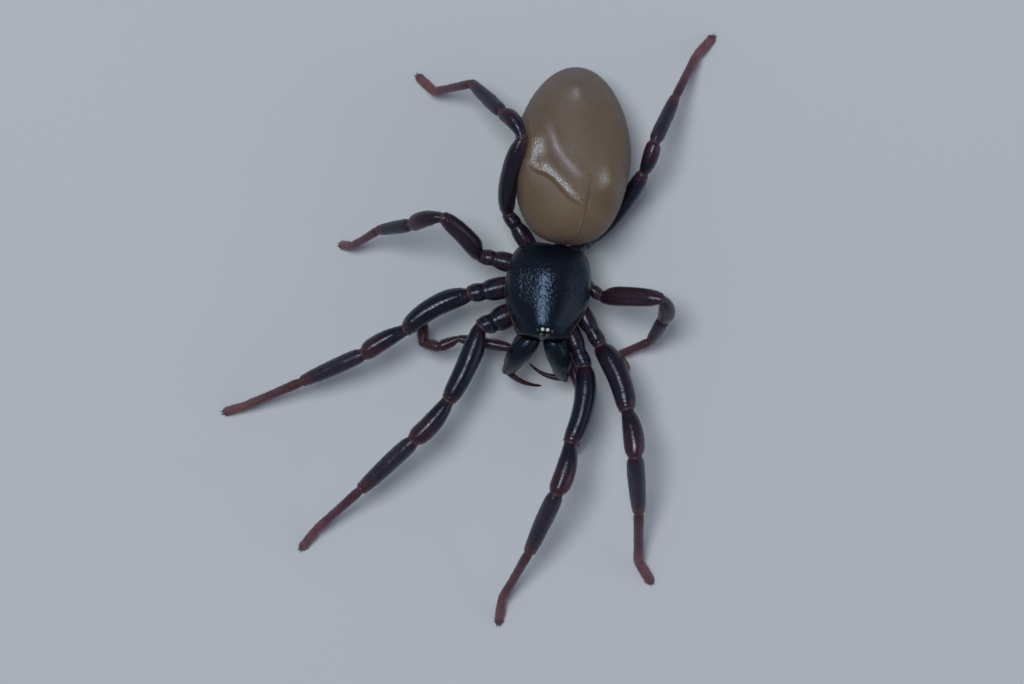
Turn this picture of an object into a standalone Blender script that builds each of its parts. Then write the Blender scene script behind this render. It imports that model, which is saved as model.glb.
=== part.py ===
"""Dysdera nicaeensis, a woodlouse spider, as a still life-size model.

The spider stands on the plane z = 0 and faces towards -Y, with its left side towards +X.
Lengths below are in millimetres and angles in degrees. MM turns millimetres into metres
where a mesh is made. A heading is measured in the floor's plane, anticlockwise from +X,
and a pitch is the rise above that plane.
"""
import math

import bmesh
import bpy
from mathutils import Matrix, Vector

MM = 0.001
GAP = 0.1
UP = Vector((0.0, 0.0, 1.0))

# The front body: carapace above, sternum below, in one frame with x forward and y to the left
BODY_PLACE = (3.62, 1.86, 3.1)
BODY_HEADING = -96.6
BODY_ROLL = 4.0

CARAPACE_SIDES = 36
CARAPACE_UNDERSIDE = 0.12
# along the body, half width, top above the margin, height of the margin
CARAPACE_STATIONS = (
    (-2.02, 0.90, 0.14, -0.04),
    (-1.86, 1.28, 0.46, 0.02),
    (-1.45, 1.62, 0.84, 0.14),
    (-0.85, 1.79, 1.07, 0.23),
    (-0.10, 1.87, 1.15, 0.26),
    (0.55, 1.80, 1.21, 0.27),
    (1.10, 1.58, 1.27, 0.27),
    (1.60, 1.34, 1.28, 0.26),
    (2.00, 1.14, 1.10, 0.24),
    (2.20, 0.96, 0.72, 0.22),
)
CARAPACE_RINGS_PER_STATION = 2

STERNUM_HALF_LENGTH = 1.5
STERNUM_HALF_WIDTH = 1.0
# height in the frame of the front body, share of the outline
STERNUM_LEVELS = ((-0.95, 0.78), (-0.87, 0.93), (-0.70, 1.0), (-0.30, 1.0), (-0.10, 0.9))
STERNUM_SIDES = 28
# the labium is a tongue in front of the sternum: along the body, share of its width and thickness
LABIUM_STATIONS = ((0.90, 1.0), (1.80, 1.0), (2.14, 0.8), (2.25, 0.45))
LABIUM_HALF_WIDTH = 0.26
LABIUM_HALF_THICKNESS = 0.15
LABIUM_HEIGHT = -0.76
LABIUM_SIDES = 10

EYE_GAP = 0.03
EYE_SIDES = 10
# height and radius of an eye's rings, as shares of its radius
EYE_DOME = ((0.0, 0.86), (0.3, 1.0), (0.75, 0.78), (1.0, 0.36))
# name, along the body, distance from the midline, radius
EYE_PAIRS = (
    ("eye_front", 1.94, 0.13, 0.095),
    ("eye_side", 1.76, 0.31, 0.075),
    ("eye_rear", 1.72, 0.106, 0.085),
)

# The abdomen: an egg with a blunt front end, raised a little at the front
ABDOMEN_PLACE = (4.71, 7.74, 3.1)
ABDOMEN_HEADING = -94.0
ABDOMEN_NOSE_UP = 11.0
ABDOMEN_HALF_LENGTH = 3.92
ABDOMEN_HALF_WIDTH = 2.56
ABDOMEN_HALF_HEIGHT = 2.1
ABDOMEN_RINGS = 26
ABDOMEN_SIDES = 36
# the outline is (1 - |u|^a)^(1/b), with a and b for the rear half and for the front half
ABDOMEN_REAR_POWERS = (1.75, 2.0)
ABDOMEN_FRONT_POWERS = (1.92, 2.9)
# folds of the back, each a chain of (left, forward) places seen from above
FOLDS = (
    ((-1.6, -0.6), (-1.1, 0.1), (-0.45, 0.45), (0.15, 0.95), (0.7, 1.9)),
    ((1.0, 0.6), (0.75, 1.9), (0.25, 3.1)),
)
FOLD_DEPTH = 0.12
FOLD_WIDTH = 0.22

PEDICEL_RADIUS = 0.3
PEDICEL_HEIGHT = -0.5
PEDICEL_SIDES = 10
# along the waist from the front body to the abdomen, share of the radius
PEDICEL_STATIONS = ((0.0, 1.0), (0.3, 0.85), (0.7, 0.85), (1.0, 1.0))
# places on the abdomen: share of its half length, angle round it
PEDICEL_SEAT = (0.90, -90.0)
SPINNERET_SEAT = (-0.93, -90.0)
SPINNERET_LENGTH = 0.38
SPINNERET_RADIUS = 0.16
SPINNERET_ROOT = 0.06
SPINNERET_SIDES = 10
SPINNERET_TAPER = ((0.0, 1.0), (0.6, 0.85), (0.9, 0.6), (1.0, 0.35))
# height above the abdomen and radius of the disc that carries the spinnerets
SPINNERET_DISC = ((0.0, 0.36), (0.14, 0.34))
# sideways, outwards and size of each spinneret on the disc
SPINNERETS = ((-0.16, 0.13, 1.0), (0.16, 0.13, 1.0), (-0.13, -0.14, 0.8), (0.13, -0.14, 0.8))

# The jaws: a stout basal joint and a long curved fang, in the frame of the front body
CHELICERA_BASE = (2.33, 0.56, 0.24)
CHELICERA_TIP = (3.76, 1.22, -1.18)
CHELICERA_BOW = (0.08, 0.22)
CHELICERA_HALF_WIDTH = 0.53
CHELICERA_HALF_HEIGHT = 0.53
CHELICERA_SIDES = 12
# along the basal joint, share of its width and height
CHELICERA_STATIONS = ((0.0, 0.93), (0.12, 1.0), (0.35, 0.97), (0.6, 0.84), (0.85, 0.60), (1.0, 0.40))
FANG_RADIUS = 0.16
FANG_TAPER = 0.72
FANG_STEPS = 9
FANG_SIDES = 8
# length, heading of the root away from straight ahead to the other side, bend from root to tip
FANGS = {"L": (1.7, 78.0, 56.0), "R": (1.7, 48.0, 50.0)}

# The legs. A pair shares its sizes; the third right leg shows a little longer than its mate.
COXA_ANGLES = {"1": 55.0, "2": 98.0, "3": 126.0, "4": 150.0}
COXA_HEIGHTS = {"1": -0.60, "2": -0.52, "3": -0.52, "4": -0.61}
# the coxae are broader than deep, and those on the right turn their broad side up
COXA_RADII = {"L1": 0.45, "L2": 0.42, "L3": 0.34, "L4": 0.36, "R1": 0.55, "R2": 0.50, "R3": 0.43, "R4": 0.40}
COXA_ROOT_RADIUS = 0.24
SEGMENTS = ("femur", "patella", "tibia", "metatarsus", "tarsus")
LEG_LENGTHS = {
    "1": (3.5, 2.3, 3.35, 3.05, 1.25),
    "2": (3.2, 2.1, 3.15, 2.95, 1.2),
    "3": (3.05, 1.75, 1.95, 1.85, 0.8),
    "4": (3.95, 1.5, 2.6, 2.62, 1.25),
}
THIRD_RIGHT_LENGTHS = (2.95, 1.8, 2.1, 2.0, 0.9)
# widest radius of femur, patella, tibia, metatarsus and tarsus
LEG_RADII = {
    "1": (0.48, 0.46, 0.39, 0.21, 0.20),
    "2": (0.47, 0.42, 0.36, 0.21, 0.20),
    "3": (0.43, 0.37, 0.30, 0.19, 0.19),
    "4": (0.40, 0.36, 0.32, 0.20, 0.20),
}
# how much stouter than its mate a leg shows
LEG_GIRTHS = {"L2": 1.1}
# hip (x, y, z), headings, pitches as far as the metatarsus, and how far femur and patella
# bow to their left and upwards; the tarsus then reaches for the floor
LEG_POSES = {
    "L1": ((5.28, -1.50, 2.75), (-101, -106, -114, -119, -98),
           (14, 13, -31, -36), (0.26, 0.10), (0.12, 0.10)),
    "L2": ((5.98, -0.59, 2.70), (-68, -81, -85, -89, -59),
           (19, 17, -38, -40), (0.20, 0.10), (0.08, 0.10)),
    "L3": ((6.03, 1.60, 2.65), (-4, -77, -120, -156, -62),
           (34, -61, -55, -36), (0.05, 0.15), (0.16, 0.06)),
    "L4": ((5.55, 4.10, 1.45), (51.5, 70, 65, 63, 48),
           (22, 17, -31, -35), (-0.16, -0.20), (-0.04, 0.10)),
    "R1": ((0.74, 0.20, 2.95), (-114.5, -131, -137, -138, -129),
           (2, 0, -18, -28), (0.12, 0.15), (0.10, 0.10)),
    "R2": ((0.19, 1.66, 2.95), (-151, -150, -156, -157, -163),
           (-2, -2, -19, -23), (-0.25, 0.15), (-0.06, 0.10)),
    "R3": ((0.69, 3.39, 2.95), (136, -169, -172, -151, 173),
           (40, -40, -45, -47), (-0.12, 0.15), (-0.10, 0.10)),
    "R4": ((1.92, 5.22, 3.05), (80, 128, 135, -172, 136),
           (33, -27, -43, -50), (0.22, 0.32), (-0.14, 0.10)),
}
FOOT_SINK = 0.02
LEG_SIDES = 12
# share of a segment over which its rings turn into the plane of the joint
JOINT_TURN = 0.3
# along the segment from 0 to 1, radius as a share of the widest
PROFILES = {
    "coxa": ((0.24, 0.84), (0.46, 1.0), (0.64, 0.94), (0.74, 0.76), (0.84, 0.84), (0.94, 0.80), (1, 0.66)),
    "endite": ((0, 0.80), (0.20, 1.0), (0.60, 0.94), (0.80, 0.86)),
    "femur": ((0, 0.66), (0.07, 0.84), (0.25, 1.0), (0.50, 0.99), (0.75, 0.94), (0.92, 0.84), (1, 0.66)),
    "patella": ((0, 0.62), (0.14, 0.76), (0.40, 0.94), (0.70, 1.0), (0.90, 0.93), (1, 0.72)),
    "tibia": ((0, 0.76), (0.08, 0.94), (0.30, 1.0), (0.60, 0.94), (0.88, 0.82), (1, 0.68)),
    "metatarsus": ((0, 0.84), (0.08, 1.0), (0.35, 0.94), (0.70, 0.92), (0.93, 1.0), (1, 0.88)),
    "tarsus": ((0, 0.86), (0.12, 0.96), (0.50, 1.0), (0.82, 0.92), (0.95, 0.66), (1, 0.40)),
}

# The palps: endite, femur, then patella, tibia and tarsus
PALP_ROOT = (1.62, 0.50, -0.92)
PALP_LENGTHS = (1.25, 2.4, 0.9, 0.8, 1.0)
PALP_RADII = (0.22, 0.25, 0.25, 0.24, 0.23)
PALP_POSES = {
    "L": ((-61, -68, -96, -112, -118), (-22, -4, -12, -22, -30)),
    "R": ((-128, 171, -158, 168, 92), (-8, -3, -6, -20, -10)),
}
PALP_SIDES = 10

COLOURS = {
    "shell_black": ((0.012, 0.013, 0.018), 0.30),
    "shell_red": ((0.055, 0.010, 0.012), 0.28),
    "skin_olive": ((0.20, 0.15, 0.09), 0.42),
    "eye_glass": ((0.02, 0.02, 0.025), 0.05),
}


def clear_scene():
    for thing in list(bpy.data.objects):
        bpy.data.objects.remove(thing, do_unlink=True)


def make_materials():
    made = {}
    for name, (colour, roughness) in COLOURS.items():
        material = bpy.data.materials.new(name)
        material.use_nodes = True
        shader = material.node_tree.nodes["Principled BSDF"]
        shader.inputs["Base Color"].default_value = (*colour, 1.0)
        shader.inputs["Roughness"].default_value = roughness
        shader.inputs["Metallic"].default_value = 0.0
        made[name] = material
    return made


def direction(heading, pitch):
    turn, rise = math.radians(heading), math.radians(pitch)
    flat = math.cos(rise)
    return Vector((flat * math.cos(turn), flat * math.sin(turn), math.sin(rise)))


def interpolate(stations, t):
    """Values at t on a smooth curve through the stations, whose first entries are their places."""
    if t <= stations[0][0]:
        return stations[0][1:]
    if t >= stations[-1][0]:
        return stations[-1][1:]
    index = max(i for i, station in enumerate(stations) if station[0] <= t)
    low, high = stations[index], stations[index + 1]
    before, after = stations[max(index - 1, 0)], stations[min(index + 2, len(stations) - 1)]
    width = high[0] - low[0]
    share = (t - low[0]) / width
    values = []
    for k in range(1, len(low)):
        start_slope = width * (high[k] - before[k]) / (high[0] - before[0])
        end_slope = width * (after[k] - low[k]) / (after[0] - low[0])
        blend = share * share * (3 - 2 * share)
        value = low[k] + (high[k] - low[k]) * blend
        value += start_slope * share * (1 - share) ** 2 - end_slope * share * share * (1 - share)
        values.append(value)
    return tuple(values)


def ellipse_ring(centre, normal, half_width, half_height, sides):
    """Points round a ring that stands square to its normal, with its width level."""
    across = normal.cross(UP).normalized()
    upward = across.cross(normal).normalized()
    wide, high = across * half_width, upward * half_height
    turns = [2 * math.pi * i / sides for i in range(sides)]
    return [centre + wide * math.cos(turn) + high * math.sin(turn) for turn in turns]


def skin_rings(mesh, rings, caps=True):
    """Bridge rings of points, in order, and close both ends."""
    loops = [[mesh.verts.new(point * MM) for point in ring] for ring in rings]
    for low, high in zip(loops, loops[1:]):
        count = len(low)
        for i in range(count):
            j = (i + 1) % count
            mesh.faces.new((low[i], low[j], high[j], high[i]))
    if caps:
        mesh.faces.new(loops[0][::-1])
        mesh.faces.new(loops[-1])
    return loops


def finish_object(name, mesh, material):
    bmesh.ops.recalc_face_normals(mesh, faces=mesh.faces)
    data = bpy.data.meshes.new(name)
    mesh.to_mesh(data)
    mesh.free()
    data.materials.append(material)
    data.shade_smooth()
    data.set_sharp_from_angle(angle=math.radians(50))
    made = bpy.data.objects.new(name, data)
    bpy.context.scene.collection.objects.link(made)
    return made


def rings_object(name, rings, material):
    mesh = bmesh.new()
    skin_rings(mesh, rings)
    return finish_object(name, mesh, material)


def unite(name, pieces, material):
    """Fuse closed pieces into one closed body called by the name."""
    whole, rest = pieces[0], pieces[1:]
    group = bpy.data.collections.new(name + "_pieces")
    for piece in rest:
        group.objects.link(piece)
    union = whole.modifiers.new("union", "BOOLEAN")
    union.operation = "UNION"
    union.solver = "EXACT"
    union.operand_type = "COLLECTION"
    union.collection = group
    bpy.context.view_layer.update()
    data = bpy.data.meshes.new_from_object(whole.evaluated_get(bpy.context.evaluated_depsgraph_get()))
    for piece in pieces:
        bpy.data.objects.remove(piece, do_unlink=True)
    bpy.data.collections.remove(group)
    mesh = bmesh.new()
    mesh.from_mesh(data)
    return finish_object(name, keep_largest(mesh), material)


def keep_largest(mesh):
    """Drop every surface but the largest from a mesh of several."""
    left = set(mesh.verts)
    shells = []
    while left:
        shell, front = set(), [left.pop()]
        while front:
            vert = front.pop()
            shell.add(vert)
            for edge in vert.link_edges:
                other = edge.other_vert(vert)
                if other in left:
                    left.remove(other)
                    front.append(other)
        shells.append(shell)
    shells.sort(key=len)
    scraps = [vert for shell in shells[:-1] for vert in shell]
    bmesh.ops.delete(mesh, geom=scraps, context="VERTS")
    return mesh


def body_frame():
    turn = Matrix.Rotation(math.radians(BODY_HEADING), 4, "Z")
    roll = Matrix.Rotation(math.radians(-BODY_ROLL), 4, "X")
    return Matrix.Translation(BODY_PLACE) @ turn @ roll


def abdomen_frame():
    turn = Matrix.Rotation(math.radians(ABDOMEN_HEADING), 4, "Z")
    lift = Matrix.Rotation(math.radians(-ABDOMEN_NOSE_UP), 4, "Y")
    return Matrix.Translation(ABDOMEN_PLACE) @ turn @ lift


BODY = body_frame()
ABDOMEN = abdomen_frame()


def carapace_top(along, side):
    half_width, rise, margin = interpolate(CARAPACE_STATIONS, along)
    return margin + rise * math.sqrt(max(0.0, 1 - (side / half_width) ** 2))


def make_carapace(material):
    rings = []
    for (start, *_), (end, *_) in zip(CARAPACE_STATIONS, CARAPACE_STATIONS[1:]):
        for step in range(CARAPACE_RINGS_PER_STATION):
            rings.append(start + (end - start) * step / CARAPACE_RINGS_PER_STATION)
    rings.append(CARAPACE_STATIONS[-1][0])
    loops = []
    for along in rings:
        half_width, rise, margin = interpolate(CARAPACE_STATIONS, along)
        loop = []
        for i in range(CARAPACE_SIDES):
            angle = 2 * math.pi * i / CARAPACE_SIDES
            depth = rise if math.sin(angle) > 0 else CARAPACE_UNDERSIDE
            side, height = half_width * math.cos(angle), margin + depth * math.sin(angle)
            loop.append(BODY @ Vector((along, side, height)))
        loops.append(loop)
    return rings_object("carapace", loops, material)


def sternum_point(angle, scale=1.0):
    turn = math.radians(angle)
    return (STERNUM_HALF_LENGTH * scale * math.cos(turn), STERNUM_HALF_WIDTH * scale * math.sin(turn))


def make_sternum(material):
    loops = []
    turns = [360 * i / STERNUM_SIDES for i in range(STERNUM_SIDES)]
    for height, scale in STERNUM_LEVELS:
        loops.append([BODY @ Vector((*sternum_point(turn, scale), height)) for turn in turns])
    plate = rings_object("sternum_plate", loops, material)
    tongue_loops = []
    for along, share in LABIUM_STATIONS:
        loop = []
        for i in range(LABIUM_SIDES):
            angle = 2 * math.pi * i / LABIUM_SIDES
            side = LABIUM_HALF_WIDTH * share * math.cos(angle)
            height = LABIUM_HEIGHT + LABIUM_HALF_THICKNESS * share * math.sin(angle)
            loop.append(BODY @ Vector((along, side, height)))
        tongue_loops.append(loop)
    tongue = rings_object("labium", tongue_loops, material)
    return unite("sternum", [plate, tongue], material)


def make_eyes(material):
    for name, along, offset, radius in EYE_PAIRS:
        for side_name, side in (("L", offset), ("R", -offset)):
            step = radius / 4
            rise_along = (carapace_top(along + step, side) - carapace_top(along - step, side)) / (2 * step)
            rise_side = (carapace_top(along, side + step) - carapace_top(along, side - step)) / (2 * step)
            normal = Vector((-rise_along, -rise_side, 1.0)).normalized()
            seat = Vector((along, side, carapace_top(along, side))) + normal * EYE_GAP
            outward = (BODY.to_3x3() @ normal).normalized()
            loops = []
            for height, share in EYE_DOME:
                centre = BODY @ seat + outward * (height * radius)
                loops.append(ellipse_ring(centre, outward, radius * share, radius * share, EYE_SIDES))
            rings_object(f"{name}_{side_name}", loops, material)


def abdomen_radius(u):
    inner, outer = ABDOMEN_FRONT_POWERS if u > 0 else ABDOMEN_REAR_POWERS
    return max(0.0, 1 - abs(u) ** inner) ** (1 / outer)


def fold_depth(forward, left):
    nearest = min(
        distance_to_line(Vector((left, forward)), Vector(a), Vector(b))
        for fold in FOLDS for a, b in zip(fold, fold[1:])
    )
    return FOLD_DEPTH * math.exp(-(nearest / FOLD_WIDTH) ** 2)


def distance_to_line(point, start, end):
    run = end - start
    share = max(0.0, min(1.0, (point - start).dot(run) / run.length_squared))
    return (point - start - run * share).length


def abdomen_point(u, angle, folded=True):
    reach = abdomen_radius(u)
    forward = ABDOMEN_HALF_LENGTH * u
    left = ABDOMEN_HALF_WIDTH * reach * math.cos(angle)
    height = ABDOMEN_HALF_HEIGHT * reach * math.sin(angle)
    if folded and height > 0:
        height -= fold_depth(forward, left) * math.sin(angle)
    return ABDOMEN @ Vector((forward, left, height))


def abdomen_normal(u, angle):
    step = 0.01
    along = abdomen_point(u + step, angle, False) - abdomen_point(u - step, angle, False)
    around = abdomen_point(u, angle + step, False) - abdomen_point(u, angle - step, False)
    normal = along.cross(around).normalized()
    outward = abdomen_point(u, angle, False) - Vector(ABDOMEN_PLACE)
    return normal if normal.dot(outward) > 0 else -normal


def make_abdomen(material):
    mesh = bmesh.new()
    loops = []
    for ring in range(1, ABDOMEN_RINGS):
        u = -math.cos(math.pi * ring / ABDOMEN_RINGS)
        turns = [2 * math.pi * i / ABDOMEN_SIDES for i in range(ABDOMEN_SIDES)]
        loops.append([abdomen_point(u, turn) for turn in turns])
    loops = skin_rings(mesh, loops, caps=False)
    for loop, u in ((loops[0], -1.0), (loops[-1], 1.0)):
        pole = mesh.verts.new(abdomen_point(u, 0.0) * MM)
        for i in range(ABDOMEN_SIDES):
            mesh.faces.new((loop[i], loop[(i + 1) % ABDOMEN_SIDES], pole))
    return finish_object("abdomen", mesh, material)


def make_pedicel(material):
    """The narrow waist, from the back of the sternum to the front of the abdomen."""
    rear = BODY @ Vector((-STERNUM_HALF_LENGTH - GAP, 0.0, PEDICEL_HEIGHT))
    rear_normal = (BODY.to_3x3() @ Vector((-1.0, 0.0, 0.0))).normalized()
    u, angle = PEDICEL_SEAT[0], math.radians(PEDICEL_SEAT[1])
    normal = abdomen_normal(u, angle)
    front = abdomen_point(u, angle) + normal * GAP
    loops = []
    for share, size in PEDICEL_STATIONS:
        centre = rear.lerp(front, share)
        facing = rear_normal.lerp(-normal, share).normalized()
        radius = PEDICEL_RADIUS * size
        loops.append(ellipse_ring(centre, facing, radius, radius, PEDICEL_SIDES))
    return rings_object("pedicel", loops, material)


def make_spinnerets(material):
    u, angle = SPINNERET_SEAT[0], math.radians(SPINNERET_SEAT[1])
    normal = abdomen_normal(u, angle)
    root = abdomen_point(u, angle) + normal * GAP
    across = normal.cross(UP).normalized()
    outward = across.cross(normal).normalized()
    disc = [ellipse_ring(root + normal * height, normal, radius, radius, SPINNERET_SIDES)
            for height, radius in SPINNERET_DISC]
    pieces = [rings_object("spinneret_base", disc, material)]
    for i, (sideways, outwards, size) in enumerate(SPINNERETS):
        start = root + normal * SPINNERET_ROOT + across * sideways + outward * outwards
        loops = []
        for share, width in SPINNERET_TAPER:
            centre = start + normal * (SPINNERET_LENGTH * size * share)
            radius = SPINNERET_RADIUS * width * size
            loops.append(ellipse_ring(centre, normal, radius, radius, SPINNERET_SIDES))
        pieces.append(rings_object(f"spinneret_{i}", loops, material))
    return unite("spinnerets", pieces, material)


def mirrored(point, side):
    return Vector((point[0], point[1] if side == "L" else -point[1], point[2]))


def jaw_joint(side):
    """Axis of the basal joint, first direction of the fang and the plane between the two."""
    base, tip = mirrored(CHELICERA_BASE, side), mirrored(CHELICERA_TIP, side)
    axis = (tip - base).normalized()
    inward = -1.0 if side == "L" else 1.0
    fang_way = direction(inward * FANGS[side][1], 0.0)
    return axis, fang_way, (axis + fang_way).normalized()


def make_chelicera(side, material):
    base, tip = mirrored(CHELICERA_BASE, side), mirrored(CHELICERA_TIP, side)
    axis, _, fang_plane = jaw_joint(side)
    forward = Vector((1.0, 0.0, 0.0))
    outward = 1.0 if side == "L" else -1.0
    bow = Vector((0.0, outward * CHELICERA_BOW[0], CHELICERA_BOW[1]))
    loops = []
    for share, size in CHELICERA_STATIONS:
        facing = fang_plane if share == 1.0 else forward.lerp(axis, min(1.0, share * 3))
        centre = BODY @ (base.lerp(tip, share) + bow * (4 * share * (1 - share)))
        normal = (BODY.to_3x3() @ facing).normalized()
        wide, high = CHELICERA_HALF_WIDTH * size, CHELICERA_HALF_HEIGHT * size
        loops.append(ellipse_ring(centre, normal, wide, high, CHELICERA_SIDES))
    return rings_object(f"chelicera_{side}", loops, material)


def make_fang(side, material):
    """A slim hook that swings inwards from the end of the basal joint and tapers to its point."""
    tip = mirrored(CHELICERA_TIP, side)
    _, _, root_plane = jaw_joint(side)
    length, swing, bend = FANGS[side]
    inward = -1.0 if side == "L" else 1.0
    place = tip + root_plane * GAP
    loops = []
    for step in range(FANG_STEPS + 1):
        share = step / FANG_STEPS
        way = direction(inward * (swing + bend * share), 0.0)
        facing = BODY.to_3x3() @ (root_plane if step == 0 else way)
        radius = FANG_RADIUS * (1 - FANG_TAPER * share)
        loops.append(ellipse_ring(BODY @ place, facing.normalized(), radius, radius, FANG_SIDES))
        place = place + way * (length / FANG_STEPS)
    return rings_object(f"fang_{side}", loops, material)


class Limb:
    """A chain of segments, with the plane of each joint halfway between its neighbours."""

    def __init__(self, start, lengths, headings, pitches, first_normal=None):
        self.points = [Vector(start)]
        self.ways = [direction(h, p) for h, p in zip(headings, pitches)]
        for length, way in zip(lengths, self.ways):
            self.points.append(self.points[-1] + way * length)
        first_normal = first_normal or self.ways[0]
        self.planes = [first_normal]
        for before, after in zip(self.ways, self.ways[1:]):
            self.planes.append((before + after).normalized())
        self.planes.append(self.ways[-1])

    def rings(self, index, profile, radius, sides, bow=(0.0, 0.0), start_gap=True, end_gap=True):
        start_plane, end_plane, way = self.planes[index], self.planes[index + 1], self.ways[index]
        start = self.points[index] + start_plane * (GAP / 2 if start_gap else 0.0)
        end = self.points[index + 1] - end_plane * (GAP / 2 if end_gap else 0.0)
        return tube_rings(start, end, start_plane, end_plane, profile, radius, sides, bow)


def tube_rings(start, end, start_plane, end_plane, profile, radius, sides, bow=(0.0, 0.0)):
    """Rings of a limb segment between two joint planes, bowed to its left and upwards."""
    way = (end - start).normalized()
    left = UP.cross(way).normalized()
    swell = left * bow[0] + way.cross(left).normalized() * bow[1]
    rings = []
    for t, share in profile:
        centre = start.lerp(end, t) + swell * (4 * t * (1 - t))
        tangent = ((end - start) + swell * (4 * (1 - 2 * t))).normalized()
        start_pull, end_pull = max(0.0, 1 - t / JOINT_TURN), max(0.0, 1 - (1 - t) / JOINT_TURN)
        normal = tangent * (1 - start_pull - end_pull) + start_plane * start_pull + end_plane * end_pull
        rings.append(ellipse_ring(centre, normal.normalized(), radius * share, radius * share, sides))
    return rings


def foot_pitch(ankle, length, radius):
    """Pitch at which a tarsus that starts at the ankle's height presses its tip on the floor."""
    shallow, steep = -20.0, 88.0
    while steep - shallow > 0.01:
        middle = (shallow + steep) / 2
        sine, cosine = math.sin(math.radians(middle)), math.cos(math.radians(middle))
        lowest = min(ankle - length * t * sine - radius * share * cosine for t, share in PROFILES["tarsus"])
        if lowest > -FOOT_SINK:
            shallow = middle
        else:
            steep = middle
    return -steep


def rest_on_floor(rings):
    """Flatten what reaches below the floor, which makes the foot's small flat."""
    return [[Vector((p.x, p.y, max(p.z, 0.0))) for p in ring] for ring in rings]


def make_leg(name, red, black):
    pair = name[1]
    hip, headings, pitches, femur_bow, patella_bow = LEG_POSES[name]
    lengths = THIRD_RIGHT_LENGTHS if name == "R3" else LEG_LENGTHS[pair]
    ankle = hip[2] + sum(length * math.sin(math.radians(p)) for length, p in zip(lengths, pitches))
    radii = [radius * LEG_GIRTHS.get(name, 1.0) for radius in LEG_RADII[pair]]
    pitches = (*pitches, foot_pitch(ankle, lengths[-1], radii[-1]))
    turn = COXA_ANGLES[pair] * (1 if name[0] == "L" else -1)
    rim = Vector((*sternum_point(turn), COXA_HEIGHTS[pair]))
    rim_normal = Vector((math.cos(math.radians(turn)) / STERNUM_HALF_LENGTH,
                         math.sin(math.radians(turn)) / STERNUM_HALF_WIDTH, 0.0)).normalized()
    root = BODY @ (rim + rim_normal * GAP)
    root_normal = (BODY.to_3x3() @ rim_normal).normalized()
    coxa_way = (Vector(hip) - root).normalized()
    hip_plane = (coxa_way + direction(headings[0], pitches[0])).normalized()
    limb = Limb(hip, lengths, headings, pitches, hip_plane)
    profile = ((0, COXA_ROOT_RADIUS / COXA_RADII[name]), *PROFILES["coxa"])
    coxa = tube_rings(root, Vector(hip) - hip_plane * (GAP / 2), root_normal, hip_plane, profile,
                      COXA_RADII[name], LEG_SIDES)
    rings_object(f"coxa_{name}", coxa, red)
    for index, (segment, bow) in enumerate(zip(SEGMENTS, (femur_bow, patella_bow, (0.0, 0.0)))):
        rings = limb.rings(index, PROFILES[segment], radii[index], LEG_SIDES, bow)
        rings_object(f"{segment}_{name}", rings, red if segment == "patella" else black)
    foot = limb.rings(3, PROFILES["metatarsus"], radii[3], LEG_SIDES, end_gap=False)[:-1]
    foot += limb.rings(4, PROFILES["tarsus"], radii[4], LEG_SIDES, start_gap=False, end_gap=False)
    rings_object(f"foot_{name}", rest_on_floor(foot), red)


def make_palp(side, red):
    headings, pitches = PALP_POSES[side]
    root = BODY @ mirrored(PALP_ROOT, side)
    limb = Limb(root, PALP_LENGTHS, headings, pitches, direction(headings[0], pitches[0]))
    upper = limb.rings(0, PROFILES["endite"], PALP_RADII[0], PALP_SIDES, end_gap=False)
    upper += limb.rings(1, PROFILES["femur"][1:], PALP_RADII[1], PALP_SIDES, start_gap=False)
    rings_object(f"palp_upper_{side}", upper, red)
    lower = limb.rings(2, PROFILES["patella"], PALP_RADII[2], PALP_SIDES, end_gap=False)
    lower += limb.rings(3, PROFILES["tibia"][1:], PALP_RADII[3], PALP_SIDES, start_gap=False, end_gap=False)
    lower += limb.rings(4, PROFILES["tarsus"][1:], PALP_RADII[4], PALP_SIDES, start_gap=False, end_gap=False)
    rings_object(f"palp_lower_{side}", lower, red)


def centre_over_origin():
    """Move the whole model level, so that the origin lies under the middle of its outline."""
    corners = [vert.co for made in bpy.data.objects for vert in made.data.vertices]
    low = Vector(min(corner[axis] for corner in corners) for axis in range(3))
    high = Vector(max(corner[axis] for corner in corners) for axis in range(3))
    middle = (low + high) / 2
    for made in bpy.data.objects:
        made.location = (-middle.x, -middle.y, 0.0)


def main():
    clear_scene()
    materials = make_materials()
    black, red = materials["shell_black"], materials["shell_red"]
    make_carapace(black)
    make_sternum(red)
    make_pedicel(red)
    make_abdomen(materials["skin_olive"])
    make_spinnerets(materials["skin_olive"])
    make_eyes(materials["eye_glass"])
    for side in ("L", "R"):
        make_chelicera(side, black)
        make_fang(side, red)
        make_palp(side, red)
    for name in LEG_POSES:
        make_leg(name, red, black)
    centre_over_origin()


main()
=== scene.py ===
"""The looks of a woodlouse spider, Dysdera nicaeensis, seen from straight above a pale floor.

Lengths are in millimetres and angles in degrees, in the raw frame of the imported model's source:
the spider faces -Y with its left side towards +X, and the floor is z = 0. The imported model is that
frame moved level by SHIFT, which is read from the frame. MM turns millimetres into metres.
"""
import itertools
import math
from collections import namedtuple

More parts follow.
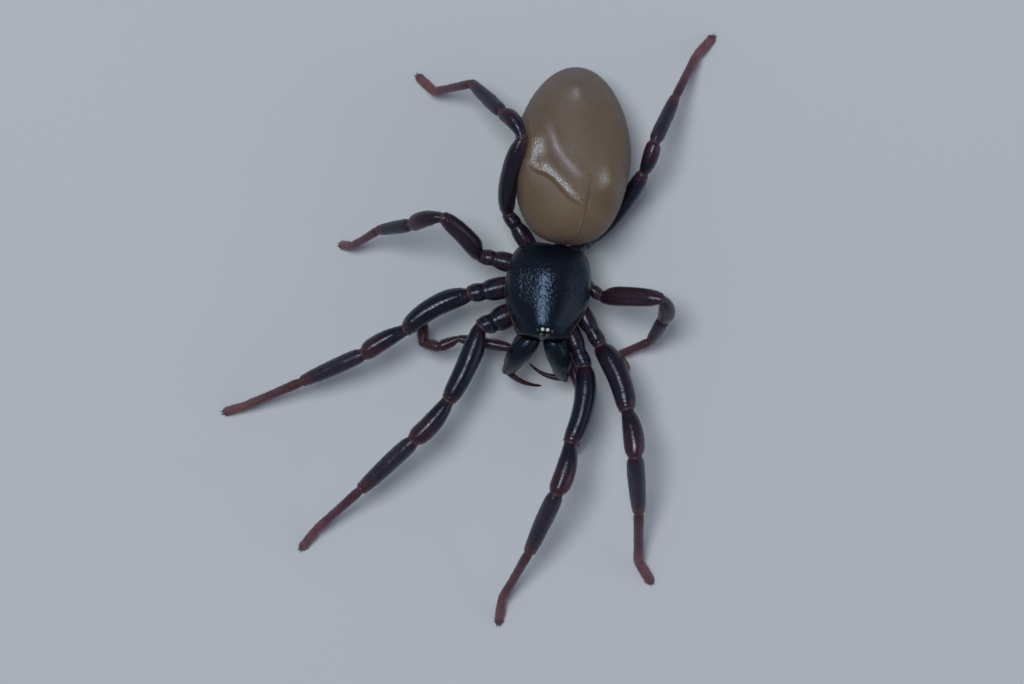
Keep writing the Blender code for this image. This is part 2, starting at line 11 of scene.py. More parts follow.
import bpy
import numpy as np
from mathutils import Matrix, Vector


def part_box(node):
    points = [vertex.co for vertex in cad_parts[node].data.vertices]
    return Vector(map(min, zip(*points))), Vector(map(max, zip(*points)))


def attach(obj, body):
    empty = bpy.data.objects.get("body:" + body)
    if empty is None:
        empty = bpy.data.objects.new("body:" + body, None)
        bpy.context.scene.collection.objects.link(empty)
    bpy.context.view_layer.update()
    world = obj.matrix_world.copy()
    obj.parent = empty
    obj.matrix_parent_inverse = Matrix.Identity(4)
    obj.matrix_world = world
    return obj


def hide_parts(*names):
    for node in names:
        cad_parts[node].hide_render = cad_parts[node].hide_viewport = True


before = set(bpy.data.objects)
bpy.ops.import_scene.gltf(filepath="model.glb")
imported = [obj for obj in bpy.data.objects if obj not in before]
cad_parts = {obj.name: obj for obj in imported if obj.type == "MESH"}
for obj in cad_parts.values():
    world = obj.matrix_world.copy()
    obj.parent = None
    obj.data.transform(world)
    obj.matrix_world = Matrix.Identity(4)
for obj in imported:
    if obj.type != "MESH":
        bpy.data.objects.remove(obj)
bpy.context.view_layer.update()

MM = 0.001
GAP = 0.1
UP = np.array((0.0, 0.0, 1.0))

# The camera stands straight above, and the photograph's pixels give its height and lens
PHOTO_WIDTH = 1024
PHOTO_FOCUS = 4600
SENSOR_WIDTH = 36.0
CAMERA_PLACE = (2.09, -0.41, 204.0)

# The front body, in a frame with x forward and y to the left
BODY_PLACE = (3.62, 1.86, 3.1)
BODY_HEADING = -96.6
BODY_ROLL = 4.0
CARAPACE_SIDES = 36
CARAPACE_UNDERSIDE = 0.12
# along the body, half width, top above the margin, height of the margin
CARAPACE_STATIONS = (
    (-2.02, 0.90, 0.14, -0.04),
    (-1.86, 1.28, 0.46, 0.02),
    (-1.45, 1.62, 0.84, 0.14),
    (-0.85, 1.79, 1.07, 0.23),
    (-0.10, 1.87, 1.15, 0.26),
    (0.55, 1.80, 1.21, 0.27),
    (1.10, 1.58, 1.27, 0.27),
    (1.60, 1.34, 1.28, 0.26),
    (2.00, 1.14, 1.10, 0.24),
    (2.20, 0.96, 0.72, 0.22),
)
STERNUM_HALF_LENGTH = 1.5
STERNUM_HALF_WIDTH = 1.0
# height in the frame of the front body, share of the outline
STERNUM_LEVELS = ((-0.95, 0.78), (-0.87, 0.93), (-0.70, 1.0), (-0.30, 1.0), (-0.10, 0.9))
LABIUM_STATIONS = ((0.90, 1.0), (1.80, 1.0), (2.14, 0.8), (2.25, 0.45))
LABIUM_HALF_WIDTH = 0.26
LABIUM_HALF_THICKNESS = 0.15
LABIUM_HEIGHT = -0.76
# name, along the body, distance from the midline, radius
EYE_PAIRS = (
    ("eye_front", 1.94, 0.13, 0.095),
    ("eye_side", 1.76, 0.31, 0.075),
    ("eye_rear", 1.72, 0.106, 0.085),
)

# The abdomen, in a frame with x forward and y to the left
ABDOMEN_PLACE = (4.71, 7.74, 3.1)
ABDOMEN_HEADING = -94.0
ABDOMEN_NOSE_UP = 11.0
ABDOMEN_HALF_LENGTH = 3.92
ABDOMEN_HALF_WIDTH = 2.56
ABDOMEN_HALF_HEIGHT = 2.1
# powers of the curves that the egg's outline follows in each half
ABDOMEN_REAR_POWERS = (1.75, 2.0)
ABDOMEN_FRONT_POWERS = (1.92, 2.9)
# relief of the back, each a chain of (left, forward) places seen from above
VALLEY = ((-1.75, 0.55), (-1.45, 0.93), (-1.0, 1.13), (-0.58, 1.46),
          (-0.16, 1.88), (0.25, 2.22), (0.72, 2.42))
STREAK = ((-1.30, -1.45), (-1.11, -0.84), (-0.88, -0.28), (-0.59, 0.45),
          (-0.3, 0.84), (0.02, 1.12), (0.34, 1.29), (0.78, 1.34))
CREASE = ((0.97, 0.85), (0.86, 1.78), (0.80, 2.46), (0.72, 2.98), (0.58, 3.54), (0.46, 3.81))
# share of the valley, depth and half width of its floor there
VALLEY_DEPTHS = ((0, 0.05), (0.12, 0.13), (0.28, 0.20), (0.45, 0.20),
                 (0.62, 0.18), (0.8, 0.15), (1.0, 0.10))
VALLEY_WIDTHS = ((0, 0.22), (0.25, 0.13), (0.5, 0.08), (1.0, 0.05))
STREAK_HEIGHTS = ((0, 0.12), (0.3, 0.13), (0.5, 0.07), (1, 0.02))
# low mounds: left, forward, half widths, height
MOUNDS = ((2.10, 1.5, 0.70, 1.20, 0.54), (0.0, -3.1, 1.20, 1.00, 0.36), (0.05, -2.75, 0.45, 0.50, 0.10))
PEDICEL_RADIUS = 0.3
PEDICEL_HEIGHT = -0.5
PEDICEL_SEAT = (0.90, -90.0)
SPINNERET_SEAT = (-0.93, -90.0)
SPINNERET_LENGTH = 0.38
SPINNERET_RADIUS = 0.16
SPINNERETS = ((-0.16, 0.13, 1.0), (0.16, 0.13, 1.0), (-0.13, -0.14, 0.8), (0.13, -0.14, 0.8))

CHELICERA_BASE = (2.33, 0.56, 0.24)
CHELICERA_TIP = (3.76, 1.22, -1.18)
CHELICERA_BOW = (0.08, 0.22)
CHELICERA_RADIUS = 0.53
CHELICERA_STATIONS = ((0.0, 0.93), (0.12, 1.0), (0.35, 0.97), (0.6, 0.84), (0.85, 0.60), (1.0, 0.40))
FANG_RADIUS = 0.16
FANG_TAPER = 0.72
# length, heading of the root away from straight ahead to the other side, bend from root to tip
FANGS = {"L": (1.7, 78.0, 56.0), "R": (1.7, 48.0, 50.0)}

# degrees round from straight ahead at which a coxa leaves the sternum
COXA_ANGLES = {"1": 55.0, "2": 98.0, "3": 126.0, "4": 150.0}
COXA_HEIGHTS = {"1": -0.60, "2": -0.52, "3": -0.52, "4": -0.61}
COXA_RADII = {"L1": 0.45, "L2": 0.42, "L3": 0.34, "L4": 0.36,
              "R1": 0.55, "R2": 0.50, "R3": 0.43, "R4": 0.40}
COXA_ROOT_RADIUS = 0.24
SEGMENTS = ("femur", "patella", "tibia", "metatarsus", "tarsus")
LEG_LENGTHS = {
    "1": (3.5, 2.3, 3.35, 3.05, 1.25),
    "2": (3.2, 2.1, 3.15, 2.95, 1.2),
    "3": (3.05, 1.75, 1.95, 1.85, 0.8),
    "4": (3.95, 1.5, 2.6, 2.62, 1.25),
}
THIRD_RIGHT_LENGTHS = (2.95, 1.8, 2.1, 2.0, 0.9)
LEG_RADII = {
    "1": (0.48, 0.46, 0.39, 0.21, 0.20),
    "2": (0.47, 0.42, 0.36, 0.21, 0.20),
    "3": (0.43, 0.37, 0.30, 0.19, 0.19),
    "4": (0.40, 0.36, 0.32, 0.20, 0.20),
}
LEG_GIRTHS = {"L2": 1.1}
# hip, headings, pitches as far as the metatarsus, bows of femur and patella to their left and upwards
LEG_POSES = {
    "L1": ((5.28, -1.50, 2.75), (-101, -106, -114, -119, -98),
           (14, 13, -31, -36), (0.26, 0.10), (0.12, 0.10)),
    "L2": ((5.98, -0.59, 2.70), (-68, -81, -85, -89, -59),
           (19, 17, -38, -40), (0.20, 0.10), (0.08, 0.10)),
    "L3": ((6.03, 1.60, 2.65), (-4, -77, -120, -156, -62),
           (34, -61, -55, -36), (0.05, 0.15), (0.16, 0.06)),
    "L4": ((5.55, 4.10, 1.45), (51.5, 70, 65, 63, 48),
           (22, 17, -31, -35), (-0.16, -0.20), (-0.04, 0.10)),
    "R1": ((0.74, 0.20, 2.95), (-114.5, -131, -137, -138, -129),
           (2, 0, -18, -28), (0.12, 0.15), (0.10, 0.10)),
    "R2": ((0.19, 1.66, 2.95), (-151, -150, -156, -157, -163),
           (-2, -2, -19, -23), (-0.25, 0.15), (-0.06, 0.10)),
    "R3": ((0.69, 3.39, 2.95), (136, -169, -172, -151, 173),
           (40, -40, -45, -47), (-0.12, 0.15), (-0.10, 0.10)),
    "R4": ((1.92, 5.22, 3.05), (80, 128, 135, -172, 136),
           (33, -27, -43, -50), (0.22, 0.32), (-0.14, 0.10)),
}
# how far a tarsus is pressed into the floor, which makes the flat below its tip
FOOT_SINK = 0.02
# share of a segment in which it turns square to the plane of its joint
JOINT_TURN = 0.3
# the skin of a joint: share of the shells' radii, and how far it reaches into them
SLEEVE_FIT = 0.95
SLEEVE_DEPTH = 0.06
PROFILES = {
    "coxa": ((0.24, 0.84), (0.46, 1.0), (0.64, 0.94), (0.74, 0.76), (0.84, 0.84), (0.94, 0.80), (1, 0.66)),
    "endite": ((0, 0.80), (0.20, 1.0), (0.60, 0.94), (0.80, 0.86), (1, 0.72)),
    "femur": ((0, 0.66), (0.07, 0.84), (0.25, 1.0), (0.50, 0.99), (0.75, 0.94), (0.92, 0.84), (1, 0.66)),
    "patella": ((0, 0.62), (0.14, 0.76), (0.40, 0.94), (0.70, 1.0), (0.90, 0.93), (1, 0.72)),
    "tibia": ((0, 0.76), (0.08, 0.94), (0.30, 1.0), (0.60, 0.94), (0.88, 0.82), (1, 0.68)),
    "metatarsus": ((0, 0.84), (0.08, 1.0), (0.35, 0.94), (0.70, 0.92), (0.93, 1.0), (1, 0.88)),
    "tarsus": ((0, 0.86), (0.12, 0.96), (0.50, 1.0), (0.82, 0.92), (0.95, 0.66), (1, 0.40)),
}
PALP_SEGMENTS = ("endite", "femur", "patella", "tibia", "tarsus")
PALP_ROOT = (1.62, 0.50, -0.92)
PALP_LENGTHS = (1.25, 2.4, 0.9, 0.8, 1.0)
PALP_RADII = (0.22, 0.25, 0.25, 0.24, 0.23)
PALP_POSES = {
    "L": ((-61, -68, -96, -112, -118), (-22, -4, -12, -22, -30)),
    "R": ((-128, 171, -158, 168, 92), (-8, -3, -6, -20, -10)),
}

# Colours and finish


def rgb(red, green, blue):
    """Colour of a surface, as linear amounts."""
    return np.array((red, green, blue))


SATIN = rgb(0.030, 0.022, 0.038)
DARK_WINE = rgb(0.010, 0.008, 0.019)
WINE = rgb(0.033, 0.013, 0.024)
DARK_RED = rgb(0.055, 0.019, 0.028)
RED_BROWN = rgb(0.105, 0.030, 0.036)
ANKLE_RED = rgb(0.122, 0.046, 0.063)
FOOT_RED = rgb(0.200, 0.080, 0.086)
# light-coloured rings of joint skin, partly painted highlight
PALE_BAND_AND_HIGHLIGHT = rgb(0.09, 0.060, 0.075)
MEMBRANE = rgb(0.072, 0.042, 0.050)
CLAW_BROWN = rgb(0.018, 0.010, 0.009)
FANG_TIP = rgb(0.030, 0.006, 0.006)
JAW_BLACK = rgb(0.008, 0.009, 0.013)
SHIELD_BLACK = rgb(0.006, 0.009, 0.015)
# painted reflection: lighter flanks and a light-coloured rim of the shield
SHIELD_FLANK_REFLECTION = rgb(0.014, 0.015, 0.021)
SHIELD_RIM_REFLECTION = rgb(0.09, 0.075, 0.075)
EYE_RIM = rgb(0.012, 0.009, 0.008)
# whitish middle of a lens, partly its pearly colour and partly painted glint
EYE_PEARL_GLINT = rgb(0.92, 0.90, 0.82)
OLIVE = rgb(0.193, 0.122, 0.062)
AMBER = rgb(0.203, 0.119, 0.047)
ROSE_GREY = rgb(0.202, 0.141, 0.116)
# rose-tinted skin of the folds, with painted highlight on them
FOLD_ROSE_AND_HIGHLIGHT = rgb(0.33, 0.235, 0.225)
BELLY = rgb(0.25, 0.19, 0.14)
BOOK_LUNG = rgb(0.36, 0.27, 0.15)
DOWN_TINT = rgb(0.24, 0.20, 0.17)
HAIR_TINT = rgb(0.055, 0.026, 0.032)
FOOT_HAIR_TINT = rgb(0.22, 0.095, 0.115)
# forward and left places of the four book lungs
BOOK_LUNGS = ((2.55, 0.95), (2.55, -0.95), (1.5, 0.9), (1.5, -0.9))
LUNG_HALF_LENGTH = 0.42
LUNG_HALF_WIDTH = 0.5
# how whitish the lenses are painted: partly their pearly colour, partly painted glint
PEARL_GLINT_SHARES = {"eye_front": 0.03, "eye_side": 0.03, "eye_rear": 1.0}
# legs that look redder than the others
WARMTH = {"L3": 0.6, "R3": 0.35, "R4": 0.1, "L2": 0.15}
GLOSS = {"coxa": 0.20, "femur": 0.19, "patella": 0.19, "tibia": 0.29, "metatarsus": 0.33, "tarsus": 0.36}

# rings and sides of the grids
CARAPACE_GRID = (280, 340)
ABDOMEN_GRID = (290, 330)
SEGMENT_SIDES = 44
SEGMENT_RINGS = {"coxa": 60, "femur": 90, "patella": 70, "tibia": 90, "metatarsus": 70, "tarsus": 44}
PALP_GRID = (50, 36)
# distance over which the carapace rounds off in front and behind
CARAPACE_ROUNDING = 0.14

# hairs on each square millimetre, length, radius, lift, colour
LEG_HAIRS = {
    "femur": (8, 0.12, 0.004, 22, HAIR_TINT),
    "patella": (18, 0.12, 0.004, 22, HAIR_TINT),
    "tibia": (45, 0.13, 0.004, 13, HAIR_TINT),
    "metatarsus": (90, 0.13, 0.004, 15, FOOT_HAIR_TINT),
    "tarsus": (170, 0.11, 0.0045, 24, FOOT_HAIR_TINT),
}
CLAW_TUFT = (420, 0.10, 0.0055, 45, HAIR_TINT)
PALP_HAIR_DENSITIES = (20, 25, 60, 110, 260)
PALP_HAIR = (0.16, 0.005, 26, HAIR_TINT * 1.3)
# where along its length a hair bends, and how thick it is there
HAIR_BEND = 0.5
HAIR_TAPER = 0.72
CLAW_LENGTH = 0.25
CLAW_RADIUS = 0.028
# degrees by which a claw rises at its root, and turns down from there to its tip
CLAW_RISE = 35
CLAW_TURN = 110
# side of the patch in which each hair is coloured, on the map of its limb
TUFT = 0.003
# lowest that a hair reaches
FLOOR_CLEARANCE = 0.002


# Curves and grids


def unit(vectors):
    """The same directions, each one long."""
    return vectors / np.linalg.norm(vectors, axis=-1, keepdims=True)


def turned(axis, degrees):
    """Rotation matrix about x, y or z."""
    sine, cosine = math.sin(math.radians(degrees)), math.cos(math.radians(degrees))
    i, j = {"x": (1, 2), "y": (2, 0), "z": (0, 1)}[axis]
    matrix = np.eye(3)
    matrix[i, i] = matrix[j, j] = cosine
    matrix[i, j], matrix[j, i] = -sine, sine
    return matrix


BODY_TURN = turned("z", BODY_HEADING) @ turned("x", -BODY_ROLL)
ABDOMEN_TURN = turned("z", ABDOMEN_HEADING) @ turned("y", -ABDOMEN_NOSE_UP)


def in_body(points):
    return np.asarray(points) @ BODY_TURN.T + BODY_PLACE


def in_abdomen(points):
    return np.asarray(points) @ ABDOMEN_TURN.T + ABDOMEN_PLACE


def direction(heading, pitch):
    turn, rise = math.radians(heading), math.radians(pitch)
    return np.array((math.cos(rise) * math.cos(turn), math.cos(rise) * math.sin(turn), math.sin(rise)))


def interpolate(stations, t):
    """Values at t on a smooth curve through the stations, whose first entries are their places."""
    if t <= stations[0][0]:
        return stations[0][1:]
    if t >= stations[-1][0]:
        return stations[-1][1:]
    index = max(i for i, station in enumerate(stations) if station[0] <= t)
    low, high = stations[index], stations[index + 1]
    before, after = stations[max(index - 1, 0)], stations[min(index + 2, len(stations) - 1)]
    width = high[0] - low[0]
    share = (t - low[0]) / width
    values = []
    for k in range(1, len(low)):
        start_slope = width * (high[k] - before[k]) / (high[0] - before[0])
        end_slope = width * (after[k] - low[k]) / (after[0] - low[0])
        settled = share * share * (3 - 2 * share)
        value = low[k] + (high[k] - low[k]) * settled
        value += start_slope * share * (1 - share) ** 2 - end_slope * share * share * (1 - share)
        values.append(value)
    return tuple(values)


def along_stations(stations, places):
    return np.array([interpolate(stations, place) for place in places]).T


def smooth_step(values, low, high):
    share = np.clip((values - low) / (high - low), 0, 1)
    return share * share * (3 - 2 * share)


def blend(first, second, share):
    share = np.asarray(share)[..., None]
    return first * (1 - share) + second * share


def bump(values, width):
    """1 where a value is 0, falling softly to 0 beyond the width."""
    return np.exp(-(values / width) ** 2)


def window(shares, start, end):
    """1 along most of a share's range, easing to 0 at both ends."""
    return smooth_step(shares, 0.0, start) * (1 - smooth_step(shares, 1 - end, 1.0))


def spread(stations, count):
    """Even places from the first station to the last."""
    return np.linspace(stations[0][0], stations[-1][0], count)


def on_curve(stations, values):
    """Heights of a smooth curve through (place, height) stations, at many places."""
    places = spread(stations, 300)
    return np.interp(values, places, along_stations(stations, places)[0])


def eased(count):
    """Places from 0 to 1 that crowd towards both ends."""
    even = np.linspace(0, 1, count)
    return 0.35 * even + 0.65 * (0.5 - 0.5 * np.cos(math.pi * even))


def ring_turns(sides):
    return np.linspace(0, 2 * math.pi, sides, endpoint=False)


def joined(forward, left, height):
    """Grid of points from a grid, row or column of each coordinate."""
    return np.stack(np.broadcast_arrays(forward, left, height), axis=-1)


def rings(centres, normals, radii, sides, flatness=1.0):
    """Grid of rings square to their normals, each from its right side upwards and round."""
    normals = unit(np.broadcast_to(normals, centres.shape))
    across = unit(np.cross(normals, UP))
    upward = np.cross(across, normals)
    turns = ring_turns(sides)[None, :, None]
    wide = np.reshape(radii, (len(centres), -1, 1))
    sideways = across[:, None] * wide * np.cos(turns)
    return centres[:, None] + sideways + upward[:, None] * (wide * flatness) * np.sin(turns)


# numbers with no pattern, which move each granule from the corner of its cell
JITTER_MIXER = np.array(((127.1, 269.5, 113.5), (311.7, 183.3, 271.9), (74.7, 246.1, 124.6)))
JITTER_FACTOR = 43758.5453


def granules(points, size, width, seed):
    """Domes on a jittered grid: 1 at their tops and 0 beyond their width, which counts in grid sizes."""
    scaled = points.reshape(-1, 3) / size
    home = np.floor(scaled)
    nearest = np.full(len(scaled), 9.0)
    for shift in itertools.product((-1, 0, 1), repeat=3):
        cell = home + shift
        jitter = np.abs(np.modf(np.sin(cell @ JITTER_MIXER + seed) * JITTER_FACTOR)[0])
        np.minimum(nearest, np.linalg.norm(cell + jitter - scaled, axis=1), out=nearest)
    return np.clip(1 - (nearest / width) ** 2, 0, 1).reshape(points.shape[:-1])


def grid_normals(grid):
    """Outward normals of a grid of rings."""
    along = np.gradient(grid, axis=0)
    around = np.roll(grid, -1, axis=1) - np.roll(grid, 1, axis=1)
    normals = np.cross(along, around)
    lengths = np.linalg.norm(normals, axis=-1, keepdims=True)
    return normals / np.maximum(lengths, 1e-12)


class Shape:
    """Grids of rings, closed at both ends, that together become one mesh."""

    def __init__(self):
        self.values, self.quads, self.tris = [], [], []
        self.count = 0

    def add(self, grid, tint, gloss, along=0.0):
        """Colour, roughness and distance along the limb are stored with each point."""
        count, sides, _ = grid.shape
        numbers = [np.broadcast_to(value, (count, sides))[..., None] for value in (gloss, along)]
        values = np.concatenate([grid, np.broadcast_to(tint, grid.shape), *numbers], axis=2)
        ends = values[:1].mean(axis=1), values[-1:].mean(axis=1)
        index = np.arange(count * sides).reshape(count, sides) + self.count
        beside = np.roll(index, -1, axis=1)
        first = np.full(sides, count * sides + self.count)
        quads = np.stack([index[:-1], index[1:], beside[1:], beside[:-1]], axis=-1)
        self.quads.append(quads.reshape(-1, 4))
        self.tris.append(np.stack([index[0], beside[0], first], axis=-1))
        self.tris.append(np.stack([beside[-1], index[-1], first + 1], axis=-1))
        self.values.append(np.concatenate([values.reshape(-1, 8), *ends]))
        self.count += count * sides + 2
        return self

    def piece(self, name, material, slot, *replaced):
        values = np.concatenate(self.values)
        faces = [np.concatenate(self.quads), np.concatenate(self.tris)]
        made = make_mesh(name, values[:, :3], faces, material)
        paint(made, values[:, 3:6], gloss=values[:, 6], along=values[:, 7])
        place(made, slot, *replaced)


def make_mesh(name, points, faces, material):
    data = bpy.data.meshes.new(name)
    corners = np.concatenate([group.ravel() for group in faces]).astype(np.int32)
    sizes = np.concatenate([np.full(len(group), group.shape[1]) for group in faces])
    data.vertices.add(len(points))
    data.vertices.foreach_set("co", ((points + SHIFT) * MM).astype(np.float32).ravel())
    data.loops.add(len(corners))
    data.loops.foreach_set("vertex_index", corners)
    data.polygons.add(len(sizes))
    data.polygons.foreach_set("loop_start", (np.cumsum(sizes) - sizes).astype(np.int32))
    data.update(calc_edges=True)
    data.validate()
    data.materials.append(material)
    data.shade_smooth()
    made = bpy.data.objects.new(name, data)
    bpy.context.scene.collection.objects.link(made)
    return made


def paint(made, tints, **numbers):
    """Store the colour and the numbers that the material reads at each point."""
    tint = made.data.attributes.new("tint", "FLOAT_COLOR", "POINT")
    colours = np.concatenate([tints, np.ones((len(tints), 1))], axis=1)
    tint.data.foreach_set("color", colours.astype(np.float32).ravel())
    for name, values in numbers.items():
        layer = made.data.attributes.new(name, "FLOAT", "POINT")
        layer.data.foreach_set("value", np.asarray(values, np.float32))


def place(made, slot, *replaced):
    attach(made, "root")
    if replaced:
        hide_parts(*replaced)


def raw_low_corner():
    """Lowest x and y of the carapace in the raw frame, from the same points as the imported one."""
    places = [station[0] for station in CARAPACE_STATIONS]
    places += [(low + high) / 2 for low, high in zip(places, places[1:])]
    half_widths, rises, margins = along_stations(CARAPACE_STATIONS, places)[..., None]
    turns = ring_turns(CARAPACE_SIDES)
    depths = np.where(np.sin(turns) > 0, rises, CARAPACE_UNDERSIDE)
    heights = margins + depths * np.sin(turns)
    corners = joined(np.array(places)[:, None], half_widths * np.cos(turns), heights)
    return in_body(corners).reshape(-1, 3).min(axis=0)


SHIFT = (np.array(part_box("carapace")[0]) / MM - raw_low_corner()) * (1, 1, 0)


# Materials


class Surface:
    """A material with a Principled shader, and short ways to add nodes to it."""

    def __init__(self, name):
        self.material = bpy.data.materials.new(name)
        self.material.use_nodes = True
        self.tree = self.material.node_tree
        # in millimetres, so that a texture's scale counts its waves in each one
        self.places = self.scaled(self.node("NewGeometry", {})["Position"], 1 / MM)

    def node(self, kind, inputs, **settings):
        """Outputs of a new node, whose inputs are numbers, colours or other nodes' outputs."""
        made = self.tree.nodes.new("ShaderNode" + kind)
        for name, value in settings.items():
            setattr(made, name, value)
        self.feed(made, inputs)
        return made.outputs

    def feed(self, node, inputs):
        for name, value in inputs.items():
            if isinstance(value, bpy.types.NodeSocket):
                self.tree.links.new(value, node.inputs[name])
            else:
                node.inputs[name].default_value = value

    def finish(self, **inputs):
        """Set and link the shader's inputs, whose names have _ in place of a space."""
        named = {name.replace("_", " "): value for name, value in inputs.items()}
        self.feed(self.tree.nodes["Principled BSDF"], named)
        return self.material

    def stored(self, name, kind="Fac"):
        return self.node("Attribute", {}, attribute_name=name)[kind]

    def scaled(self, vector, factor):
        return self.node("VectorMath", {0: vector, "Scale": factor}, operation="SCALE")[0]

    def times(self, first, second):
        return self.node("Math", {0: first, 1: second}, operation="MULTIPLY")[0]

    def tinted(self, factor):
        """The colour stored at each point, made darker or lighter by a factor."""
        return self.scaled(self.stored("tint", "Color"), factor)

    def noise(self, scale, detail, roughness=0.5):
        waves = {"Vector": self.places, "Scale": scale, "Detail": detail, "Roughness": roughness}
        return self.node("TexNoise", waves)["Fac"]

    def banding(self, place, scale):
        """Noise that changes only with one number."""
        waves = {"W": place, "Scale": scale, "Detail": 1.0}
        return self.node("TexNoise", waves, noise_dimensions="1D")["Fac"]

    def ranged(self, noise, low, high):
        """Noise, which mostly lies between 0.3 and 0.7, brought to another range."""
        limits = {"From Min": 0.3, "From Max": 0.7, "To Min": low, "To Max": high}
        return self.node("MapRange", {"Value": noise, **limits})["Result"]

    def bumps(self, *layers):
        """Bumps one on another, each with its height, distance in millimetres and strength."""
        inputs = {}
        for height, distance, strength in layers:
            inputs.update({"Height": height, "Distance": distance * MM, "Strength": strength})
            inputs = {"Normal": self.node("Bump", inputs)["Normal"]}
        return inputs["Normal"]


def shell_material():
    """Glossy to satin shell of the limbs, whose colour and roughness are stored at its points."""
    made = Surface("shell")
    return made.finish(
        Base_Color=made.tinted(made.ranged(made.noise(2.2, 4.0, 0.6), 0.72, 1.3)),
        Roughness=made.times(made.stored("gloss"), made.ranged(made.noise(9.0, 3.0), 0.85, 1.25)),
        Normal=made.bumps(
            (made.noise(3.0, 2.0), 0.02, 0.5),
            (made.banding(made.stored("along"), 28.0), 0.010, 1.0),
            (made.noise(34.0, 3.0, 0.6), 0.002, 0.6),
        ),
        IOR=1.62,
        Specular_Tint=(0.72, 0.84, 1.0, 1.0),
    )


def carapace_material():
    """Blue-black shell with fine granules."""
    made = Surface("granular_shell")
    return made.finish(
        Base_Color=made.tinted(made.ranged(made.noise(1.6, 4.0, 0.6), 0.75, 1.3)),
        Roughness=made.ranged(made.noise(14.0, 3.0), 0.17, 0.25),
        Normal=made.bumps((made.noise(16.0, 2.0, 0.6), 0.015, 0.8)),
        IOR=1.52,
        Specular_Tint=(0.48, 0.68, 1.0, 1.0),
    )


def abdomen_material():
    """Thin, stretched skin with a satin gloss that lets a little light through."""
    made = Surface("abdomen_skin")
    cloudy = made.ranged(made.noise(0.9, 5.0, 0.6), 0.90, 1.10)
    speckled = made.ranged(made.noise(16.0, 3.0, 0.6), 0.94, 1.06)
    return made.finish(
        Base_Color=made.tinted(made.times(cloudy, speckled)),
        Roughness=made.times(made.stored("gloss"), made.ranged(made.noise(5.0, 3.0), 0.9, 1.12)),
        Normal=made.bumps(
            (made.noise(7.0, 4.0, 0.6), 0.008, 0.6),
            (made.noise(15.0, 2.5, 0.6), 0.024, 0.8),
        ),
        IOR=1.85,
        Specular_Tint=(0.78, 0.90, 1.0, 1.0),
        Subsurface_Weight=0.25,
        Subsurface_Scale=0.3 * MM,
        Subsurface_Radius=(1.0, 0.55, 0.30),
    )


def membrane_material():
    """Soft skin of the joints, finely wrinkled."""
    made = Surface("joint_skin")
    clouds = made.noise(6.0, 3.0)
    return made.finish(
        Base_Color=made.tinted(made.ranged(clouds, 0.75, 1.2)),
        Roughness=made.ranged(clouds, 0.36, 0.52),
        Normal=made.bumps((made.noise(20.0, 3.0, 0.6), 0.012, 0.8)),
    )


def eye_material():
    """Pearly lens with a dark rim; the stored colour runs from rim to middle, and its whitish middle is
    partly painted glint.
    """
    made = Surface("eye_lens")
    clouds = made.noise(12.0, 2.0)
    return made.finish(
        Base_Color=made.tinted(made.ranged(clouds, 0.85, 1.15)),
        Roughness=made.ranged(clouds, 0.03, 0.07),
        IOR=1.6,
        Coat_Weight=1.0,
        Coat_Roughness=0.02,
    )


def hair_material():
    made = Surface("hair")
    clouds = made.noise(4.0, 2.0)
    return made.finish(
        Base_Color=made.tinted(made.ranged(clouds, 0.7, 1.3)),
        Roughness=made.ranged(clouds, 0.35, 0.50),
    )


def floor_material():
    made = Surface("floor")
    shade = made.noise(0.05, 3.0)
    ends = {6: (0.745, 0.785, 0.825, 1.0), 7: (0.785, 0.815, 0.85, 1.0)}
    return made.finish(
        Base_Color=made.node("Mix", {0: shade, **ends}, data_type="RGBA")[2],
        Roughness=made.ranged(shade, 0.85, 0.95),
    )


# Hair


